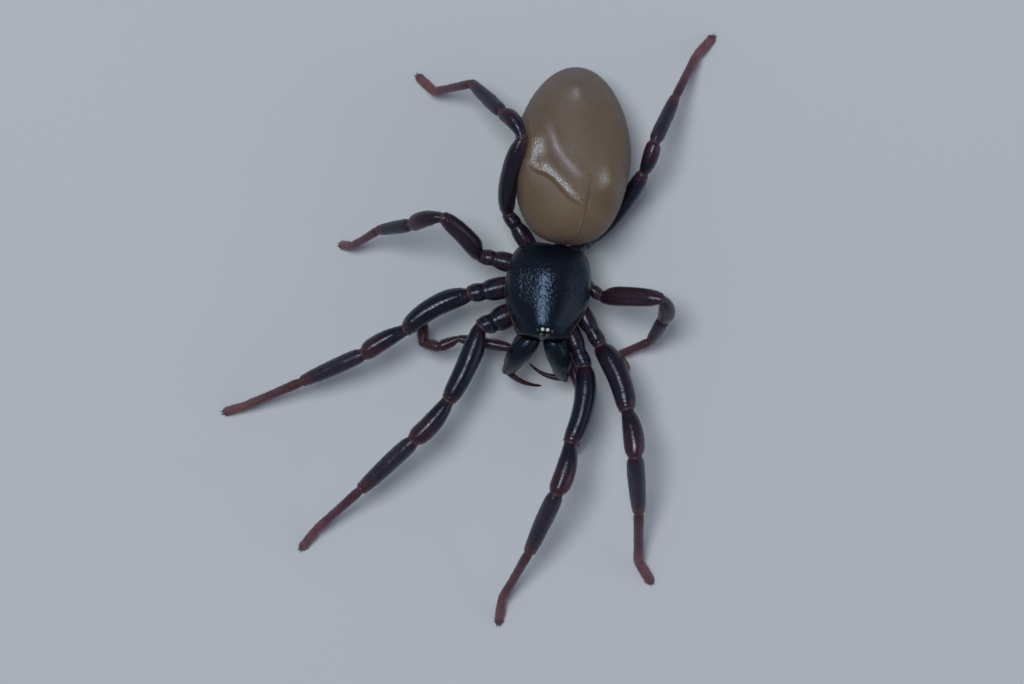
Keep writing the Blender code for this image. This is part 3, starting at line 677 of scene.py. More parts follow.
class Coat:
    """Many fine tapered hairs that together become one mesh."""

    def __init__(self, rng):
        self.rng = rng
        self.points, self.tints, self.patches = [], [], []

    def scatter(self, grid, per_area, chosen):
        """Random points on a grid of rings, with normals, ways along it and shares along and round."""
        low, high = grid[:-1], grid[1:]
        low_beside, high_beside = np.roll(low, -1, axis=1), np.roll(high, -1, axis=1)
        normals = np.cross(high - low, low_beside - low)
        areas = np.linalg.norm(normals, axis=2)
        count, sides = areas.shape
        if chosen is not None:
            rows, turns = np.meshgrid((np.arange(count) + 0.5) / count, ring_turns(sides), indexing="ij")
            areas = areas * chosen(rows, turns)
        wanted = int(round(areas.sum() * per_area))
        cells = self.rng.choice(areas.size, wanted, p=(areas / areas.sum()).ravel())
        i, j = np.divmod(cells, sides)
        s, t = self.rng.random((2, wanted, 1))
        near = low[i, j] * (1 - s) + high[i, j] * s
        beside = low_beside[i, j] * (1 - s) + high_beside[i, j] * s
        normals = unit(normals[i, j])
        ways = high[i, j] - low[i, j]
        ways = unit(ways - normals * (ways * normals).sum(axis=1, keepdims=True))
        shares = np.stack([(i + s[:, 0]) / count, (j + t[:, 0]) / sides], axis=1)
        return near * (1 - t) + beside * t, normals, ways, shares

    def grow(self, grid, per_area, length, radius, lift, tint, band=(0.0, 1.0), sway=0.35, chosen=None):
        """Hairs all over a grid; they rise by lift degrees and bend back towards the skin."""
        roots, normals, ways, shares = self.scatter(grid, per_area, chosen)
        count = len(roots)
        lengths = length * self.rng.uniform(0.7, 1.25, (count, 1))
        radii = radius * self.rng.uniform(0.8, 1.2, (count, 1))
        sides = np.cross(ways, normals)
        ways = unit(ways + sides * self.rng.normal(0, sway, (count, 1)))
        rises = np.radians(lift * self.rng.uniform(0.7, 1.3, (count, 1)))
        starts = ways * np.cos(rises) + normals * np.sin(rises)
        middles = roots + starts * lengths * HAIR_BEND
        tips = middles + unit(starts + ways) * lengths * (1 - HAIR_BEND)
        across = unit(np.cross(starts, normals))
        over = np.cross(across, starts)
        corners = [across * math.cos(turn) + over * math.sin(turn) for turn in ring_turns(3)]
        hair = [roots - normals * radius + corner * radii for corner in corners]
        hair += [middles + corner * radii * HAIR_TAPER for corner in corners]
        self.points.append(np.stack([*hair, tips], axis=1))
        self.tints.append(np.broadcast_to(tint, (count, 3)))
        along = band[0] + (band[1] - band[0]) * shares[:, 0]
        self.patches.append(np.stack([along, shares[:, 1]], axis=1) * (1 - 2 * TUFT) + TUFT)

    def piece(self, name, material, slot):
        """One mesh, with each hair on its own small patch of the map OFBake."""
        points = np.concatenate(self.points)
        points[..., 2] = np.maximum(points[..., 2], FLOOR_CLEARANCE)
        count, each, _ = points.shape
        start = (np.arange(count) * each)[:, None, None]
        quads = np.array([(k, (k + 1) % 3, (k + 1) % 3 + 3, k + 3) for k in range(3)])
        tris = np.array([(k + 3, (k + 1) % 3 + 3, 6) for k in range(3)])
        faces = [(start + quads).reshape(-1, 4), (start + tris).reshape(-1, 3)]
        made = make_mesh(name, points.reshape(-1, 3), faces, material)
        paint(made, np.repeat(np.concatenate(self.tints), each, axis=0))
        shifts = [(math.cos(turn), math.sin(turn)) for turn in ring_turns(3)]
        shifts += [(0.5 * x, 0.5 * y) for x, y in shifts] + [(0.0, 0.0)]
        patches = np.concatenate(self.patches)[:, None] + np.array(shifts) * TUFT / 2
        layer = made.data.uv_layers.new(name="OFBake")
        corners = np.zeros(len(made.data.loops), np.int32)
        made.data.loops.foreach_get("vertex_index", corners)
        layer.data.foreach_set("uv", patches.reshape(-1, 2)[corners].astype(np.float32).ravel())
        place(made, slot)


# Front body


def carapace_height(along, side):
    half_width, rise, margin = interpolate(CARAPACE_STATIONS, along)
    return margin + rise * math.sqrt(max(0.0, 1 - (side / half_width) ** 2))


def make_carapace(material):
    count, sides = CARAPACE_GRID
    first, last = CARAPACE_STATIONS[0][0], CARAPACE_STATIONS[-1][0]
    forward = (first + (last - first) * eased(count))[:, None]
    half_widths, rises, margins = along_stations(CARAPACE_STATIONS, forward[:, 0])[..., None]
    nearest = np.minimum(forward - first, last - forward)
    ease = np.sqrt(np.clip(1 - (1 - np.clip(nearest / CARAPACE_ROUNDING, 0, 1)) ** 2, 1e-4, 1))
    turns = ring_turns(sides)
    upper = np.sin(turns) > 0
    edge = np.abs(np.cos(turns))
    side = -(half_widths * ease ** 0.35) * np.cos(turns)
    height = margins + np.where(upper, rises * ease ** 0.6, CARAPACE_UNDERSIDE * ease) * np.sin(turns)
    grid = joined(forward, side, height)
    rim = 0.020 * smooth_step(edge, 0.985, 0.9985)
    calm = smooth_step(nearest, 0.0, 0.3) * upper * (1 - smooth_step(edge, 0.96, 0.99))
    # the granules are coarse behind and fine in front
    coarse = 0.019 - 0.011 * smooth_step(forward, -0.2, 1.0)
    # the flanks fall away from a line just left of the middle
    beside = side - 0.12
    pinch = 0.10 * beside ** 2 * (1 - smooth_step(np.abs(beside), 0.7, 1.9)) * upper
    pinch = pinch * smooth_step(nearest, 0.0, 0.6)
    rise = granules(grid, 0.10, 0.42, 3) * coarse * calm + rim - pinch
    grid = grid + grid_normals(grid) * rise[..., None]
    # the flanks are painted lighter and the rim light-coloured, as painted reflection of the light around
    tint = blend(SHIELD_BLACK, SHIELD_FLANK_REFLECTION, smooth_step(edge, 0.6, 1.0))
    tint = blend(tint, SHIELD_RIM_REFLECTION, smooth_step(edge, 0.990, 0.999))
    Shape().add(in_body(grid), tint, 0.3).piece("carapace_shell", material, "shell_black", "carapace")


def make_sternum(material):
    levels = spread(STERNUM_LEVELS, 30)
    shares = along_stations(STERNUM_LEVELS, levels)[0]
    closing = np.array((0.2, 0.5, 0.75, 0.9))
    shares = np.concatenate([shares[0] * closing, shares])[:, None]
    levels = np.concatenate([levels[0] - 0.03 * (1 - closing ** 2), levels])[:, None]
    turns = ring_turns(96)
    scallop = 1 - 0.02 * np.cos(turns * 8)
    forward = STERNUM_HALF_LENGTH * shares * np.cos(turns) * scallop
    plate = joined(forward, STERNUM_HALF_WIDTH * shares * np.sin(turns) * scallop, levels)
    places = spread(LABIUM_STATIONS, 24)
    shares = along_stations(LABIUM_STATIONS, places)[0][:, None]
    turns = ring_turns(28)
    height = LABIUM_HEIGHT + LABIUM_HALF_THICKNESS * shares * np.sin(turns)
    tongue = joined(places[:, None], -LABIUM_HALF_WIDTH * shares * np.cos(turns), height)
    shape = Shape().add(in_body(plate), DARK_RED, 0.25).add(in_body(tongue), DARK_RED * 0.8, 0.28)
    shape.piece("sternum_shell", material, "shell_red", "sternum")


def make_pleura(material):
    """Soft skin between the carapace and the sternum."""
    turns = ring_turns(90)
    cosines, sines = np.cos(turns), np.sin(turns)
    shares = np.linspace(0, 1, 14)[:, None]
    places = 0.1 + 1.85 * cosines
    half_width, _, margin = along_stations(CARAPACE_STATIONS, places)
    reach = np.minimum(np.abs(0.86 * half_width * sines), 1.45 * np.sqrt(np.abs(sines))) * np.sign(sines)
    fold = 1 + 0.03 * np.sin(shares * 18)
    forward = STERNUM_HALF_LENGTH * 0.93 * cosines * (1 - shares) + places * shares
    side = STERNUM_HALF_WIDTH * 0.95 * sines * (1 - shares ** 0.6) + reach * shares ** 0.6
    height = -0.45 * (1 - shares) + (margin + 0.02) * shares
    grid = in_body(joined(forward * fold, side * fold, height))
    Shape().add(grid, MEMBRANE * 0.5, 0.5).piece("pleura_skin", material, "shell_red")


def carapace_normal(along, side, step):
    """Upward direction of the carapace, from its heights a small step away."""
    ahead = carapace_height(along + step, side) - carapace_height(along - step, side)
    aside = carapace_height(along, side + step) - carapace_height(along, side - step)
    return unit(np.array((-ahead / (2 * step), -aside / (2 * step), 1.0)))


def make_eyes(material):
    falls = np.linspace(-0.35, 0.5 * math.pi - 0.02, 22)
    for name, along, offset, radius in EYE_PAIRS:
        # the whitish middle of a lens is partly its pearly colour and partly painted glint
        pearl_glint = smooth_step(falls, 0.15, 0.50) * PEARL_GLINT_SHARES[name]
        tint = blend(EYE_RIM, EYE_PEARL_GLINT, pearl_glint)[:, None]
        for letter, side in (("L", offset), ("R", -offset)):
            seat = np.array((along, side, carapace_height(along, side)))
            outward = BODY_TURN @ carapace_normal(along, side, radius / 4)
            centres = in_body(seat) + outward * (np.sin(falls)[:, None] * radius + 0.012)
            shape = Shape().add(rings(centres, outward, radius * np.cos(falls), 36), tint, 0.05)
            shape.piece(f"{name}_{letter}_lens", material, "eye_glass", f"{name}_{letter}")


# Jaws


def mirrored(point, side):
    return np.array((point[0], point[1] if side == "L" else -point[1], point[2]))


def jaw(side):
    """Sign of its own side, base and tip of a jaw, its axis, and the plane where the fang joins it."""
    outward = 1.0 if side == "L" else -1.0
    base, tip = mirrored(CHELICERA_BASE, side), mirrored(CHELICERA_TIP, side)
    axis = unit(tip - base)
    return outward, base, tip, axis, unit(axis + direction(-outward * FANGS[side][1], 0.0))


def make_chelicera(side, material, hair, rng):
    outward, base, tip, axis, fang_plane = jaw(side)
    bow = np.array((0.0, outward * CHELICERA_BOW[0], CHELICERA_BOW[1]))
    shares = eased(90)
    size = along_stations(CHELICERA_STATIONS, shares)[0]
    lip = 1 + 0.10 * bump(shares - 0.97, 0.03)
    t = shares[:, None]
    ahead, late = np.minimum(1.0, t * 3), smooth_step(t, 0.85, 1.0)
    facing = np.array((1.0, 0.0, 0.0)) * (1 - ahead) + axis * ahead
    facing = unit(facing) * (1 - late) + fang_plane * late
    centres = base + t * (tip - base) + bow * (4 * t * (1 - t))
    centres[0] -= (0.12, 0.0, 0.0)
    grid = rings(in_body(centres), facing @ BODY_TURN.T, CHELICERA_RADIUS * size * lip, 96)
    rise = granules(grid, 0.12, 0.62, 8) * 0.011 * smooth_step(t, 0.02, 0.1)
    grid = grid + grid_normals(grid) * rise[..., None]
    shape = Shape().add(grid, blend(JAW_BLACK, WINE, smooth_step(t, 0.6, 1.0)), 0.3)
    shape.piece(f"chelicera_{side}_shell", material, "shell_black", f"chelicera_{side}")
    coat = Coat(rng)
    coat.grow(grid, 14, 0.18, 0.005, 45, DARK_WINE * 2)
    coat.grow(grid, 60, 0.28, 0.006, 60, RED_BROWN,
              chosen=lambda rows, turns: (rows > 0.7) * (np.sin(turns) < 0.3))
    coat.piece(f"chelicera_{side}_hair", hair, "shell_black")


def make_fang(side, material):
    outward, _, tip, _, root_plane = jaw(side)
    length, swing, bend = FANGS[side]
    shares = np.linspace(0, 1, 60)
    ways = np.array([direction(-outward * (swing + bend * share), 0.0) for share in shares])
    step = length / (len(shares) - 1)
    places = tip + root_plane * (GAP - 0.16) + np.cumsum(ways, axis=0) * step - ways[0] * step
    turn_in = np.clip(1 - shares / 0.12, 0, 1)[:, None]
    facing = ways * (1 - turn_in) + root_plane * turn_in
    radii = FANG_RADIUS * (1 - FANG_TAPER * shares) * np.sqrt(np.clip((1 - shares) / 0.06, 0.02, 1))
    radii = radii * (1 + 0.18 * bump(shares - 0.03, 0.05))
    tint = blend(DARK_RED, FANG_TIP, smooth_step(shares, 0.2, 0.9))[:, None]
    shape = Shape().add(rings(in_body(places), facing @ BODY_TURN.T, radii, 28, 0.9), tint, 0.12)
    shape.piece(f"fang_{side}_shell", material, "shell_red", f"fang_{side}")


# Abdomen


def abdomen_reach(u):
    rear, front = ABDOMEN_REAR_POWERS, ABDOMEN_FRONT_POWERS
    inner, outer = np.where(u > 0, front[0], rear[0]), np.where(u > 0, front[1], rear[1])
    return np.clip(1 - np.abs(u) ** inner, 0, 1) ** (1 / outer)


def chain_field(chain, left, forward, blur):
    """Smooth offset to one side of a chain of places, share of the chain, and plain distance."""
    stations = [(i, *place) for i, place in enumerate(chain)]
    points = along_stations(stations, np.linspace(0, len(chain) - 1, 60)).T
    ways = unit(np.gradient(points, axis=0))
    away = [(left - x) ** 2 + (forward - y) ** 2 for x, y in points]
    nearest = np.minimum.reduce(away)
    weight, share, offset = 0.0, 0.0, 0.0
    for i, ((x, y), (over, ahead)) in enumerate(zip(points, ways)):
        pull = np.exp(-(away[i] - nearest) / (2 * blur ** 2))
        weight = weight + pull
        share = share + pull * i / (len(points) - 1)
        offset = offset + pull * ((left - x) * ahead - (forward - y) * over)
    return offset / weight, share / weight, np.sqrt(nearest)


def abdomen_relief(left, forward):
    """Height of the back above the plain egg, how shiny it is, how much rose tint with painted highlight,
    and how much painted shade darkens the crease.
    """
    across, along, _ = chain_field(VALLEY, left, forward, 0.12)
    floor = on_curve(VALLEY_WIDTHS, along)
    banks = smooth_step(across, -floor - 0.30, -floor) * (1 - smooth_step(across, floor, floor + 0.85))
    rise = -on_curve(VALLEY_DEPTHS, along) * banks
    shoulder = smooth_step(forward, -1.5, -0.2) * (1 - smooth_step(forward, 1.3, 3.0))
    rise += 0.50 * bump(left + 2.15, 0.80) * shoulder
    _, streak_share, streak_far = chain_field(STREAK, left, forward, 0.12)
    streak = window(streak_share, 0.25, 0.25)
    rise += on_curve(STREAK_HEIGHTS, streak_share) * bump(streak_far, 0.32) * streak
    beside, crease_share, crease_far = chain_field(CREASE, left, forward, 0.06)
    crease = smooth_step(crease_share, 0.0, 0.35)
    rise -= 0.03 * bump(crease_far, 0.07) * crease
    for place_left, place_forward, half_width, half_length, height in MOUNDS:
        rise += height * bump(left - place_left, half_width) * bump(forward - place_forward, half_length)

    band = smooth_step(across, -floor - 0.06, -floor + 0.04)
    band = band * (1 - smooth_step(across, floor - 0.02, floor + 0.22))
    shine = np.maximum.reduce([
        band * window(along, 0.05, 0.06),
        bump(left + 1.5, 0.45) * bump(forward - 0.15, 0.70),
        0.55 * bump(streak_far, 0.30) * streak,
        0.8 * bump(left - 1.45, 0.34) * bump(forward - 1.35, 0.7),
        0.5 * bump(left, 0.35) * bump(forward + 2.45, 0.6),
    ])
    # a thin light-coloured line beside the crease is painted highlight
    painted_highlight_line = bump(beside + 0.09, 0.035) * smooth_step(crease_share, 0.55, 0.65)
    painted_highlight_line = painted_highlight_line * (1 - smooth_step(crease_share, 0.80, 0.95))
    # the streak's rose tint is partly the fold's own colour and partly painted highlight
    rosy_and_highlight = np.maximum(0.7 * bump(streak_far, 0.20) * streak, 0.6 * painted_highlight_line)
    # the last value is painted shade, darkening the crease
    return rise, shine, rosy_and_highlight, 0.35 * bump(crease_far, 0.05) * crease


def abdomen_grid(u, turns):
    """Egg in the abdomen's own frame, before its folds are raised."""
    reach = abdomen_reach(u)[:, None]
    left = -ABDOMEN_HALF_WIDTH * reach * np.cos(turns)
    return joined(ABDOMEN_HALF_LENGTH * u[:, None], left, ABDOMEN_HALF_HEIGHT * reach * np.sin(turns))


def abdomen_seat(seat):
    """Place and outward direction on the egg, given along it and round it."""
    nearby = np.array((-0.01, 0.0, 0.01))
    near = abdomen_grid(seat[0] + nearby, math.radians(seat[1]) + nearby)
    normal = unit(np.cross(near[2, 1] - near[0, 1], near[1, 2] - near[1, 0]))
    return in_abdomen(near[1, 1]), ABDOMEN_TURN @ normal


def make_abdomen(material, hair, rng):
    count, sides = ABDOMEN_GRID
    u = -np.cos(math.pi * np.linspace(0.004, 0.996, count))
    grid = abdomen_grid(u, ring_turns(sides))
    forward, left = grid[..., 0], grid[..., 1]
    height = grid[..., 2] / ABDOMEN_HALF_HEIGHT
    back, belly = smooth_step(height, 0.0, 0.35), smooth_step(-height, 0.2, 0.7)
    rise, shine, rosy_and_highlight, shade = (values * back for values in abdomen_relief(left, forward))
    furrow = 0.05 * bump(forward - 1.9, 0.07) * belly
    grid = grid - grid_normals(grid) * furrow[..., None]
    grid[..., 2] += rise
    tint = blend(OLIVE, AMBER, smooth_step(forward, -0.5, 3.2))
    # towards the sides the skin is painted rose-grey as painted reflection at the rim; towards the rear it
    # greys in its own tone
    grey_rear_and_rim_reflection = smooth_step(1 - height, 0.25, 1.0) * 0.7 + smooth_step(-forward, 0.5, 3.6) * 0.6
    tint = blend(tint, ROSE_GREY, np.clip(grey_rear_and_rim_reflection, 0, 1))
    # folds get rose tint with painted highlight, and the crease gets painted shade
    tint = blend(tint, FOLD_ROSE_AND_HIGHLIGHT, rosy_and_highlight) * (1 - shade[..., None])
    tint = blend(tint, BELLY, belly)
    for lung_forward, lung_left in BOOK_LUNGS:
        ahead, aside = (forward - lung_forward) / LUNG_HALF_LENGTH, (left - lung_left) / LUNG_HALF_WIDTH
        away = ahead ** 2 + aside ** 2
        tint = blend(tint, BOOK_LUNG, np.exp(-away ** 2) * belly)
    placed = in_abdomen(grid)
    Shape().add(placed, tint, 0.60 - 0.38 * shine).piece("abdomen_skin", material, "skin_olive", "abdomen")
    coat = Coat(rng)
    coat.grow(placed[::-1, ::-1], 95, 0.09, 0.004, 28, DOWN_TINT)
    coat.piece("abdomen_hair", hair, "skin_olive")


def make_pedicel(material):
    rear = in_body(np.array((-STERNUM_HALF_LENGTH - GAP + 0.2, 0.0, PEDICEL_HEIGHT)))
    rear_normal = BODY_TURN @ np.array((-1.0, 0.0, 0.0))
    seat, normal = abdomen_seat(PEDICEL_SEAT)
    shares = np.linspace(0, 1, 60)[:, None]
    centres = rear + shares * (seat - normal * 0.15 - rear)
    facing = rear_normal * (1 - shares) - normal * shares
    radii = PEDICEL_RADIUS * (0.88 + 0.03 * np.sin(shares * 75) + 0.12 * (2 * shares - 1) ** 2)
    shape = Shape().add(rings(centres, facing, radii, 40), MEMBRANE * 0.6, 0.4)
    shape.piece("pedicel_skin", material, "shell_red", "pedicel")


def make_spinnerets(material, hair, rng):
    root, normal = abdomen_seat(SPINNERET_SEAT)
    across = unit(np.cross(normal, UP))
    outward = np.cross(across, normal)
    shape, coat = Shape(), Coat(rng)
    shares = eased(24)
    centres = root + normal * (shares * 0.3 - 0.08)[:, None]
    radii = 0.36 * np.sqrt(np.clip(1 - np.clip((shares - 0.6) / 0.4, 0, 1) ** 2, 0.02, 1))
    shape.add(rings(centres, normal, radii, 40), OLIVE * 0.8, 0.4)
    narrow = (1 - 0.45 * shares) * np.sqrt(np.clip((1 - shares) / 0.2, 0.03, 1))
    for sideways, outwards, size in SPINNERETS:
        start = root + normal * 0.1 + across * sideways + outward * outwards
        centres = start + normal * (shares * SPINNERET_LENGTH * size)[:, None]
        grid = rings(centres, normal, SPINNERET_RADIUS * size * narrow, 28)
        shape.add(grid, blend(OLIVE * 0.7, DARK_RED * 1.6, shares * 0.6)[:, None], 0.4)
        coat.grow(grid, 120, 0.10, 0.006, 35, DARK_WINE * 3)
    shape.piece("spinnerets_skin", material, "skin_olive", "spinnerets")
    coat.piece("spinnerets_hair", hair, "skin_olive")


# Limbs

# the planes at both ends of a segment are given by their normals
Segment = namedtuple("Segment", "kind start end start_plane end_plane profile radius bow")
STRAIGHT = (0.0, 0.0)
RIMMED = ("coxa", "femur", "tibia")


def chain_of_joints(start, lengths, headings, pitches, first_normal):
    """Joint places, and the plane of each joint halfway between its neighbours."""
    ways = np.array([direction(h, p) for h, p in zip(headings, pitches)])
    points = [np.array(start, float)]
    for length, way in zip(lengths, ways):
        points.append(points[-1] + way * length)
    planes = [first_normal]
    planes += [unit(before + after) for before, after in zip(ways, ways[1:])]
    planes.append(ways[-1])
    return points, planes


def limb_parts(kinds, points, planes, radii, bows, opened, closed):
    """Segments along a chain of joints, half a gap short at the starts and ends that are named."""
    parts = []
    for i, kind in enumerate(kinds):
        start = points[i] + planes[i] * GAP / 2 * (kind in opened)
        end = points[i + 1] - planes[i + 1] * GAP / 2 * (kind in closed)
        parts.append(Segment(kind, start, end, planes[i], planes[i + 1], PROFILES[kind], radii[i], bows[i]))
    return parts


def segment_path(part, shares):
    """Middle and direction of each ring of a segment that bows to its left and upwards."""
    way = unit(part.end - part.start)
    left = unit(np.cross(UP, way))
    swell = left * part.bow[0] + np.cross(way, left) * part.bow[1]
    t = shares[:, None]
    centres = part.start + (part.end - part.start) * t + swell * (4 * t * (1 - t))
    tangents = unit((part.end - part.start) + swell * (4 * (1 - 2 * t)))
    start_pull, end_pull = np.clip(1 - t / JOINT_TURN, 0, 1), np.clip(1 - (1 - t) / JOINT_TURN, 0, 1)
    normals = tangents * (1 - start_pull - end_pull)
    return centres, unit(normals + part.start_plane * start_pull + part.end_plane * end_pull)


def foot_pitch(ankle, length, radius):
    """Pitch at which a tarsus that starts at the ankle's height presses its tip on the floor."""
    shallow, steep = -20.0, 88.0
    while steep - shallow > 0.01:
        middle = (shallow + steep) / 2
        sine, cosine = math.sin(math.radians(middle)), math.cos(math.radians(middle))
        lowest = min(ankle - length * t * sine - radius * share * cosine for t, share in PROFILES["tarsus"])
        if lowest > -FOOT_SINK:
            shallow = middle
        else:
            steep = middle
    return -steep


def segment_grid(part, count, sides, phase):
    """Rings of a limb segment with slight unevenness, their shares of it and distances along it."""
    shares = eased(count)
    centres, normals = segment_path(part, shares)
    radii = part.radius * along_stations(part.profile, shares)[0]
    length = np.linalg.norm(part.end - part.start)
    if part.kind in RIMMED:
        back = (1 - shares) * length
        radii = radii * (1 + 0.05 * bump(back - 0.06, 0.035) - 0.03 * bump(back - 0.15, 0.04))
    turns, t = ring_turns(sides), shares[:, None]
    uneven = 1 + 0.010 * np.sin(2 * turns + phase + 5 * t) + 0.008 * np.sin(3 * turns - 2 * phase - 8 * t)
    grids = [rings(centres, normals, radii[:, None] * uneven, sides)]
    for place_in_grid, end, inward in ((0, [0], 0.05), (2, [-1], -0.05)):
        inner = rings(centres[end] + normals[end] * inward, normals[end], radii[end] * 0.7, sides)
        grids.insert(place_in_grid, inner)
    shares = np.concatenate([[0.0], shares, [1.0]])
    return np.concatenate(grids), shares, (shares * length)[:, None]


def leg_tint(segment, shares, warmth):
    """Colour of a segment from its near end to its far end."""
    shell = DARK_WINE * (1 - warmth) + DARK_RED * warmth
    if segment == "coxa":
        tint = blend(WINE, shell, smooth_step(shares, 0.4, 0.7))
        # light-coloured rings: joint skin, partly painted highlight
        for middle in (0.74, 0.87, 0.97):
            tint = blend(tint, PALE_BAND_AND_HIGHLIGHT, 0.35 * bump(shares - middle, 0.016))
        return tint
    if segment == "femur":
        tint = blend(WINE, shell, smooth_step(shares, 0.0, 0.14))
        return blend(tint, DARK_RED, 0.8 * smooth_step(shares, 0.84, 1.0))
    if segment == "patella":
        tint = blend(WINE, shell, bump(shares - 0.25, 0.2))
        return blend(tint, DARK_RED * 1.1, smooth_step(shares, 0.45, 0.95))
    if segment == "tibia":
        tint = blend(WINE, SATIN * (1 - warmth) + shell * warmth, smooth_step(shares, 0.02, 0.15))
        return blend(tint, RED_BROWN * 0.9, smooth_step(shares, 0.72, 0.97))
    if segment == "metatarsus":
        tint = blend(RED_BROWN * 0.8, ANKLE_RED, smooth_step(shares, 0.05, 0.5))
        return blend(tint, FOOT_RED, smooth_step(shares, 0.6, 1.0))
    return blend(FOOT_RED, FOOT_RED * 1.15, shares)


def make_claws(name, tip, way, material):
    """Two curved claws above the tuft at the tip of a foot."""
    level = unit(np.array((way[0], way[1], 0.0)))
    across = np.cross(level, UP)
    shares = np.linspace(0, 1, 22)[:, None]
    turn = np.radians(CLAW_RISE - CLAW_TURN * shares)
    run = level * np.cos(turn) + UP * np.sin(turn)
    shape = Shape()
    for sign in (-1, 1):
        apart = across * (sign * (0.045 + 0.03 * shares))
        centres = tip + apart + np.cumsum(run, axis=0) * (CLAW_LENGTH / len(shares))
        centres[:, 2] = np.maximum(centres[:, 2], 0.03)
        grid = rings(centres, unit(run) + across * 0.001, CLAW_RADIUS * (1 - 0.8 * shares), 12)
        shape.add(grid, CLAW_BROWN, 0.2)
    shape.piece(f"claws_{name}", material, "shell_black")


def make_joints(name, parts, material):
    """Wrinkled sleeves from inside one segment to inside the next, as far as the fifth."""
    shape = Shape()
    shares = np.linspace(0, 1, 20)[:, None]
    for before, after in zip(parts, parts[1:5]):
        first = before.profile[-1][1] * before.radius * SLEEVE_FIT
        last = after.profile[0][1] * after.radius * SLEEVE_FIT
        low = before.end - before.end_plane * SLEEVE_DEPTH
        high = after.start + after.start_plane * SLEEVE_DEPTH
        radii = (first + (last - first) * shares) * (1 + 0.02 * np.sin(shares * 30))
        facing = before.end_plane + shares * (after.start_plane - before.end_plane)
        shape.add(rings(low + shares * (high - low), facing, radii, 36), MEMBRANE, 0.45)
    shape.piece(name, material, "shell_red")


def leg_parts(name):
    """Coxa, femur, patella, tibia, metatarsus and tarsus of a leg."""
    pair = name[1]
    hip, headings, pitches, *bows = LEG_POSES[name]
    lengths = THIRD_RIGHT_LENGTHS if name == "R3" else LEG_LENGTHS[pair]
    ankle = hip[2] + sum(length * math.sin(math.radians(p)) for length, p in zip(lengths, pitches))
    radii = [radius * LEG_GIRTHS.get(name, 1.0) for radius in LEG_RADII[pair]]
    pitches = (*pitches, foot_pitch(ankle, lengths[-1], radii[-1]))
    turn = math.radians(COXA_ANGLES[pair] * (1 if name[0] == "L" else -1))
    cosine, sine = math.cos(turn), math.sin(turn)
    rim = np.array((STERNUM_HALF_LENGTH * cosine, STERNUM_HALF_WIDTH * sine, COXA_HEIGHTS[pair]))
    rim_normal = unit(np.array((cosine / STERNUM_HALF_LENGTH, sine / STERNUM_HALF_WIDTH, 0.0)))
    root, root_plane = in_body(rim + rim_normal * GAP), BODY_TURN @ rim_normal
    hip_plane = unit(unit(np.array(hip) - root) + direction(headings[0], pitches[0]))
    points, planes = chain_of_joints(hip, lengths, headings, pitches, hip_plane)
    profile = ((0, COXA_ROOT_RADIUS / COXA_RADII[name]), *PROFILES["coxa"])
    start, end = root - root_plane * 0.15, points[0] - hip_plane * GAP / 2
    coxa = Segment("coxa", start, end, root_plane, hip_plane, profile, COXA_RADII[name], STRAIGHT)
    bows += [STRAIGHT] * 3
    return [coxa, *limb_parts(SEGMENTS, points, planes, radii, bows, SEGMENTS[:4], SEGMENTS[:3])]


def make_leg(name, number, shell, membrane, hair):
    parts = leg_parts(name)
    coat, foot = Coat(np.random.default_rng(100 + number)), Shape()
    for i, part in enumerate(parts):
        kind = part.kind
        grid, shares, along = segment_grid(part, SEGMENT_RINGS[kind], SEGMENT_SIDES, number + 2.1 * i)
        tint = leg_tint(kind, shares, WARMTH.get(name, 0.0))[:, None]
        along = along + 7.3 * i + 50 * number
        if kind in ("metatarsus", "tarsus"):
            grid[..., 2] = np.maximum(grid[..., 2], 0.0)
            foot.add(grid, tint, GLOSS[kind], along)
        else:
            slot = "shell_red" if kind in ("coxa", "patella") else "shell_black"
            shape = Shape().add(grid, tint, GLOSS[kind], along)
            shape.piece(f"{kind}_{name}_shell", shell, slot, f"{kind}_{name}")
        if kind in LEG_HAIRS:
            coat.grow(grid[1:-1], *LEG_HAIRS[kind], (i / 6, (i + 1) / 6), 0.2)
    foot.piece(f"foot_{name}_shell", shell, "shell_red", f"foot_{name}")
    make_joints(f"joints_{name}", parts, membrane)
    coat.grow(grid[1:-1], *CLAW_TUFT, (5 / 6, 1.0), 0.6, lambda rows, turns: rows > 0.72)
    coat.piece(f"leg_{name}_hair", hair, "shell_black")
    tarsus = parts[-1]
    make_claws(name, tarsus.end - tarsus.end_plane * 0.04, tarsus.end_plane, shell)


def make_palp(side, number, shell, membrane, hair):
    headings, pitches = PALP_POSES[side]
    root = in_body(mirrored(PALP_ROOT, side))
    root_plane = direction(headings[0], pitches[0])
    points, planes = chain_of_joints(root, PALP_LENGTHS, headings, pitches, root_plane)
    parts = limb_parts(PALP_SEGMENTS, points, planes, PALP_RADII, [STRAIGHT] * 5, ["patella"], ["femur"])
    upper, lower, coat = Shape(), Shape(), Coat(np.random.default_rng(300 + number))
    for i, (part, density) in enumerate(zip(parts, PALP_HAIR_DENSITIES)):
        grid, _, along = segment_grid(part, *PALP_GRID, i + number)
        (upper if i < 2 else lower).add(grid, blend(WINE, RED_BROWN, i / 6), 0.24, along + 5.7 * i + 500)
        coat.grow(grid[1:-1], density, *PALP_HAIR, (i / 5, (i + 1) / 5), 0.2)
    upper.piece(f"palp_upper_{side}_shell", shell, "shell_red", f"palp_upper_{side}")
    lower.piece(f"palp_lower_{side}_shell", shell, "shell_red", f"palp_lower_{side}")
    make_joints(f"palp_joints_{side}", parts, membrane)
    coat.piece(f"palp_{side}_hair", hair, "shell_red")


# Studio

SKY_OVERHEAD = np.array((0.03, 0.045, 0.09))
SKY_HORIZON = np.array((0.155, 0.175, 0.205))
# heights above the horizon, as sines; a new ramp already has stops at the first two
SKY_STEPS = (0.0, 1.0, 0.3, 0.5, 0.7, 0.85, 0.95)


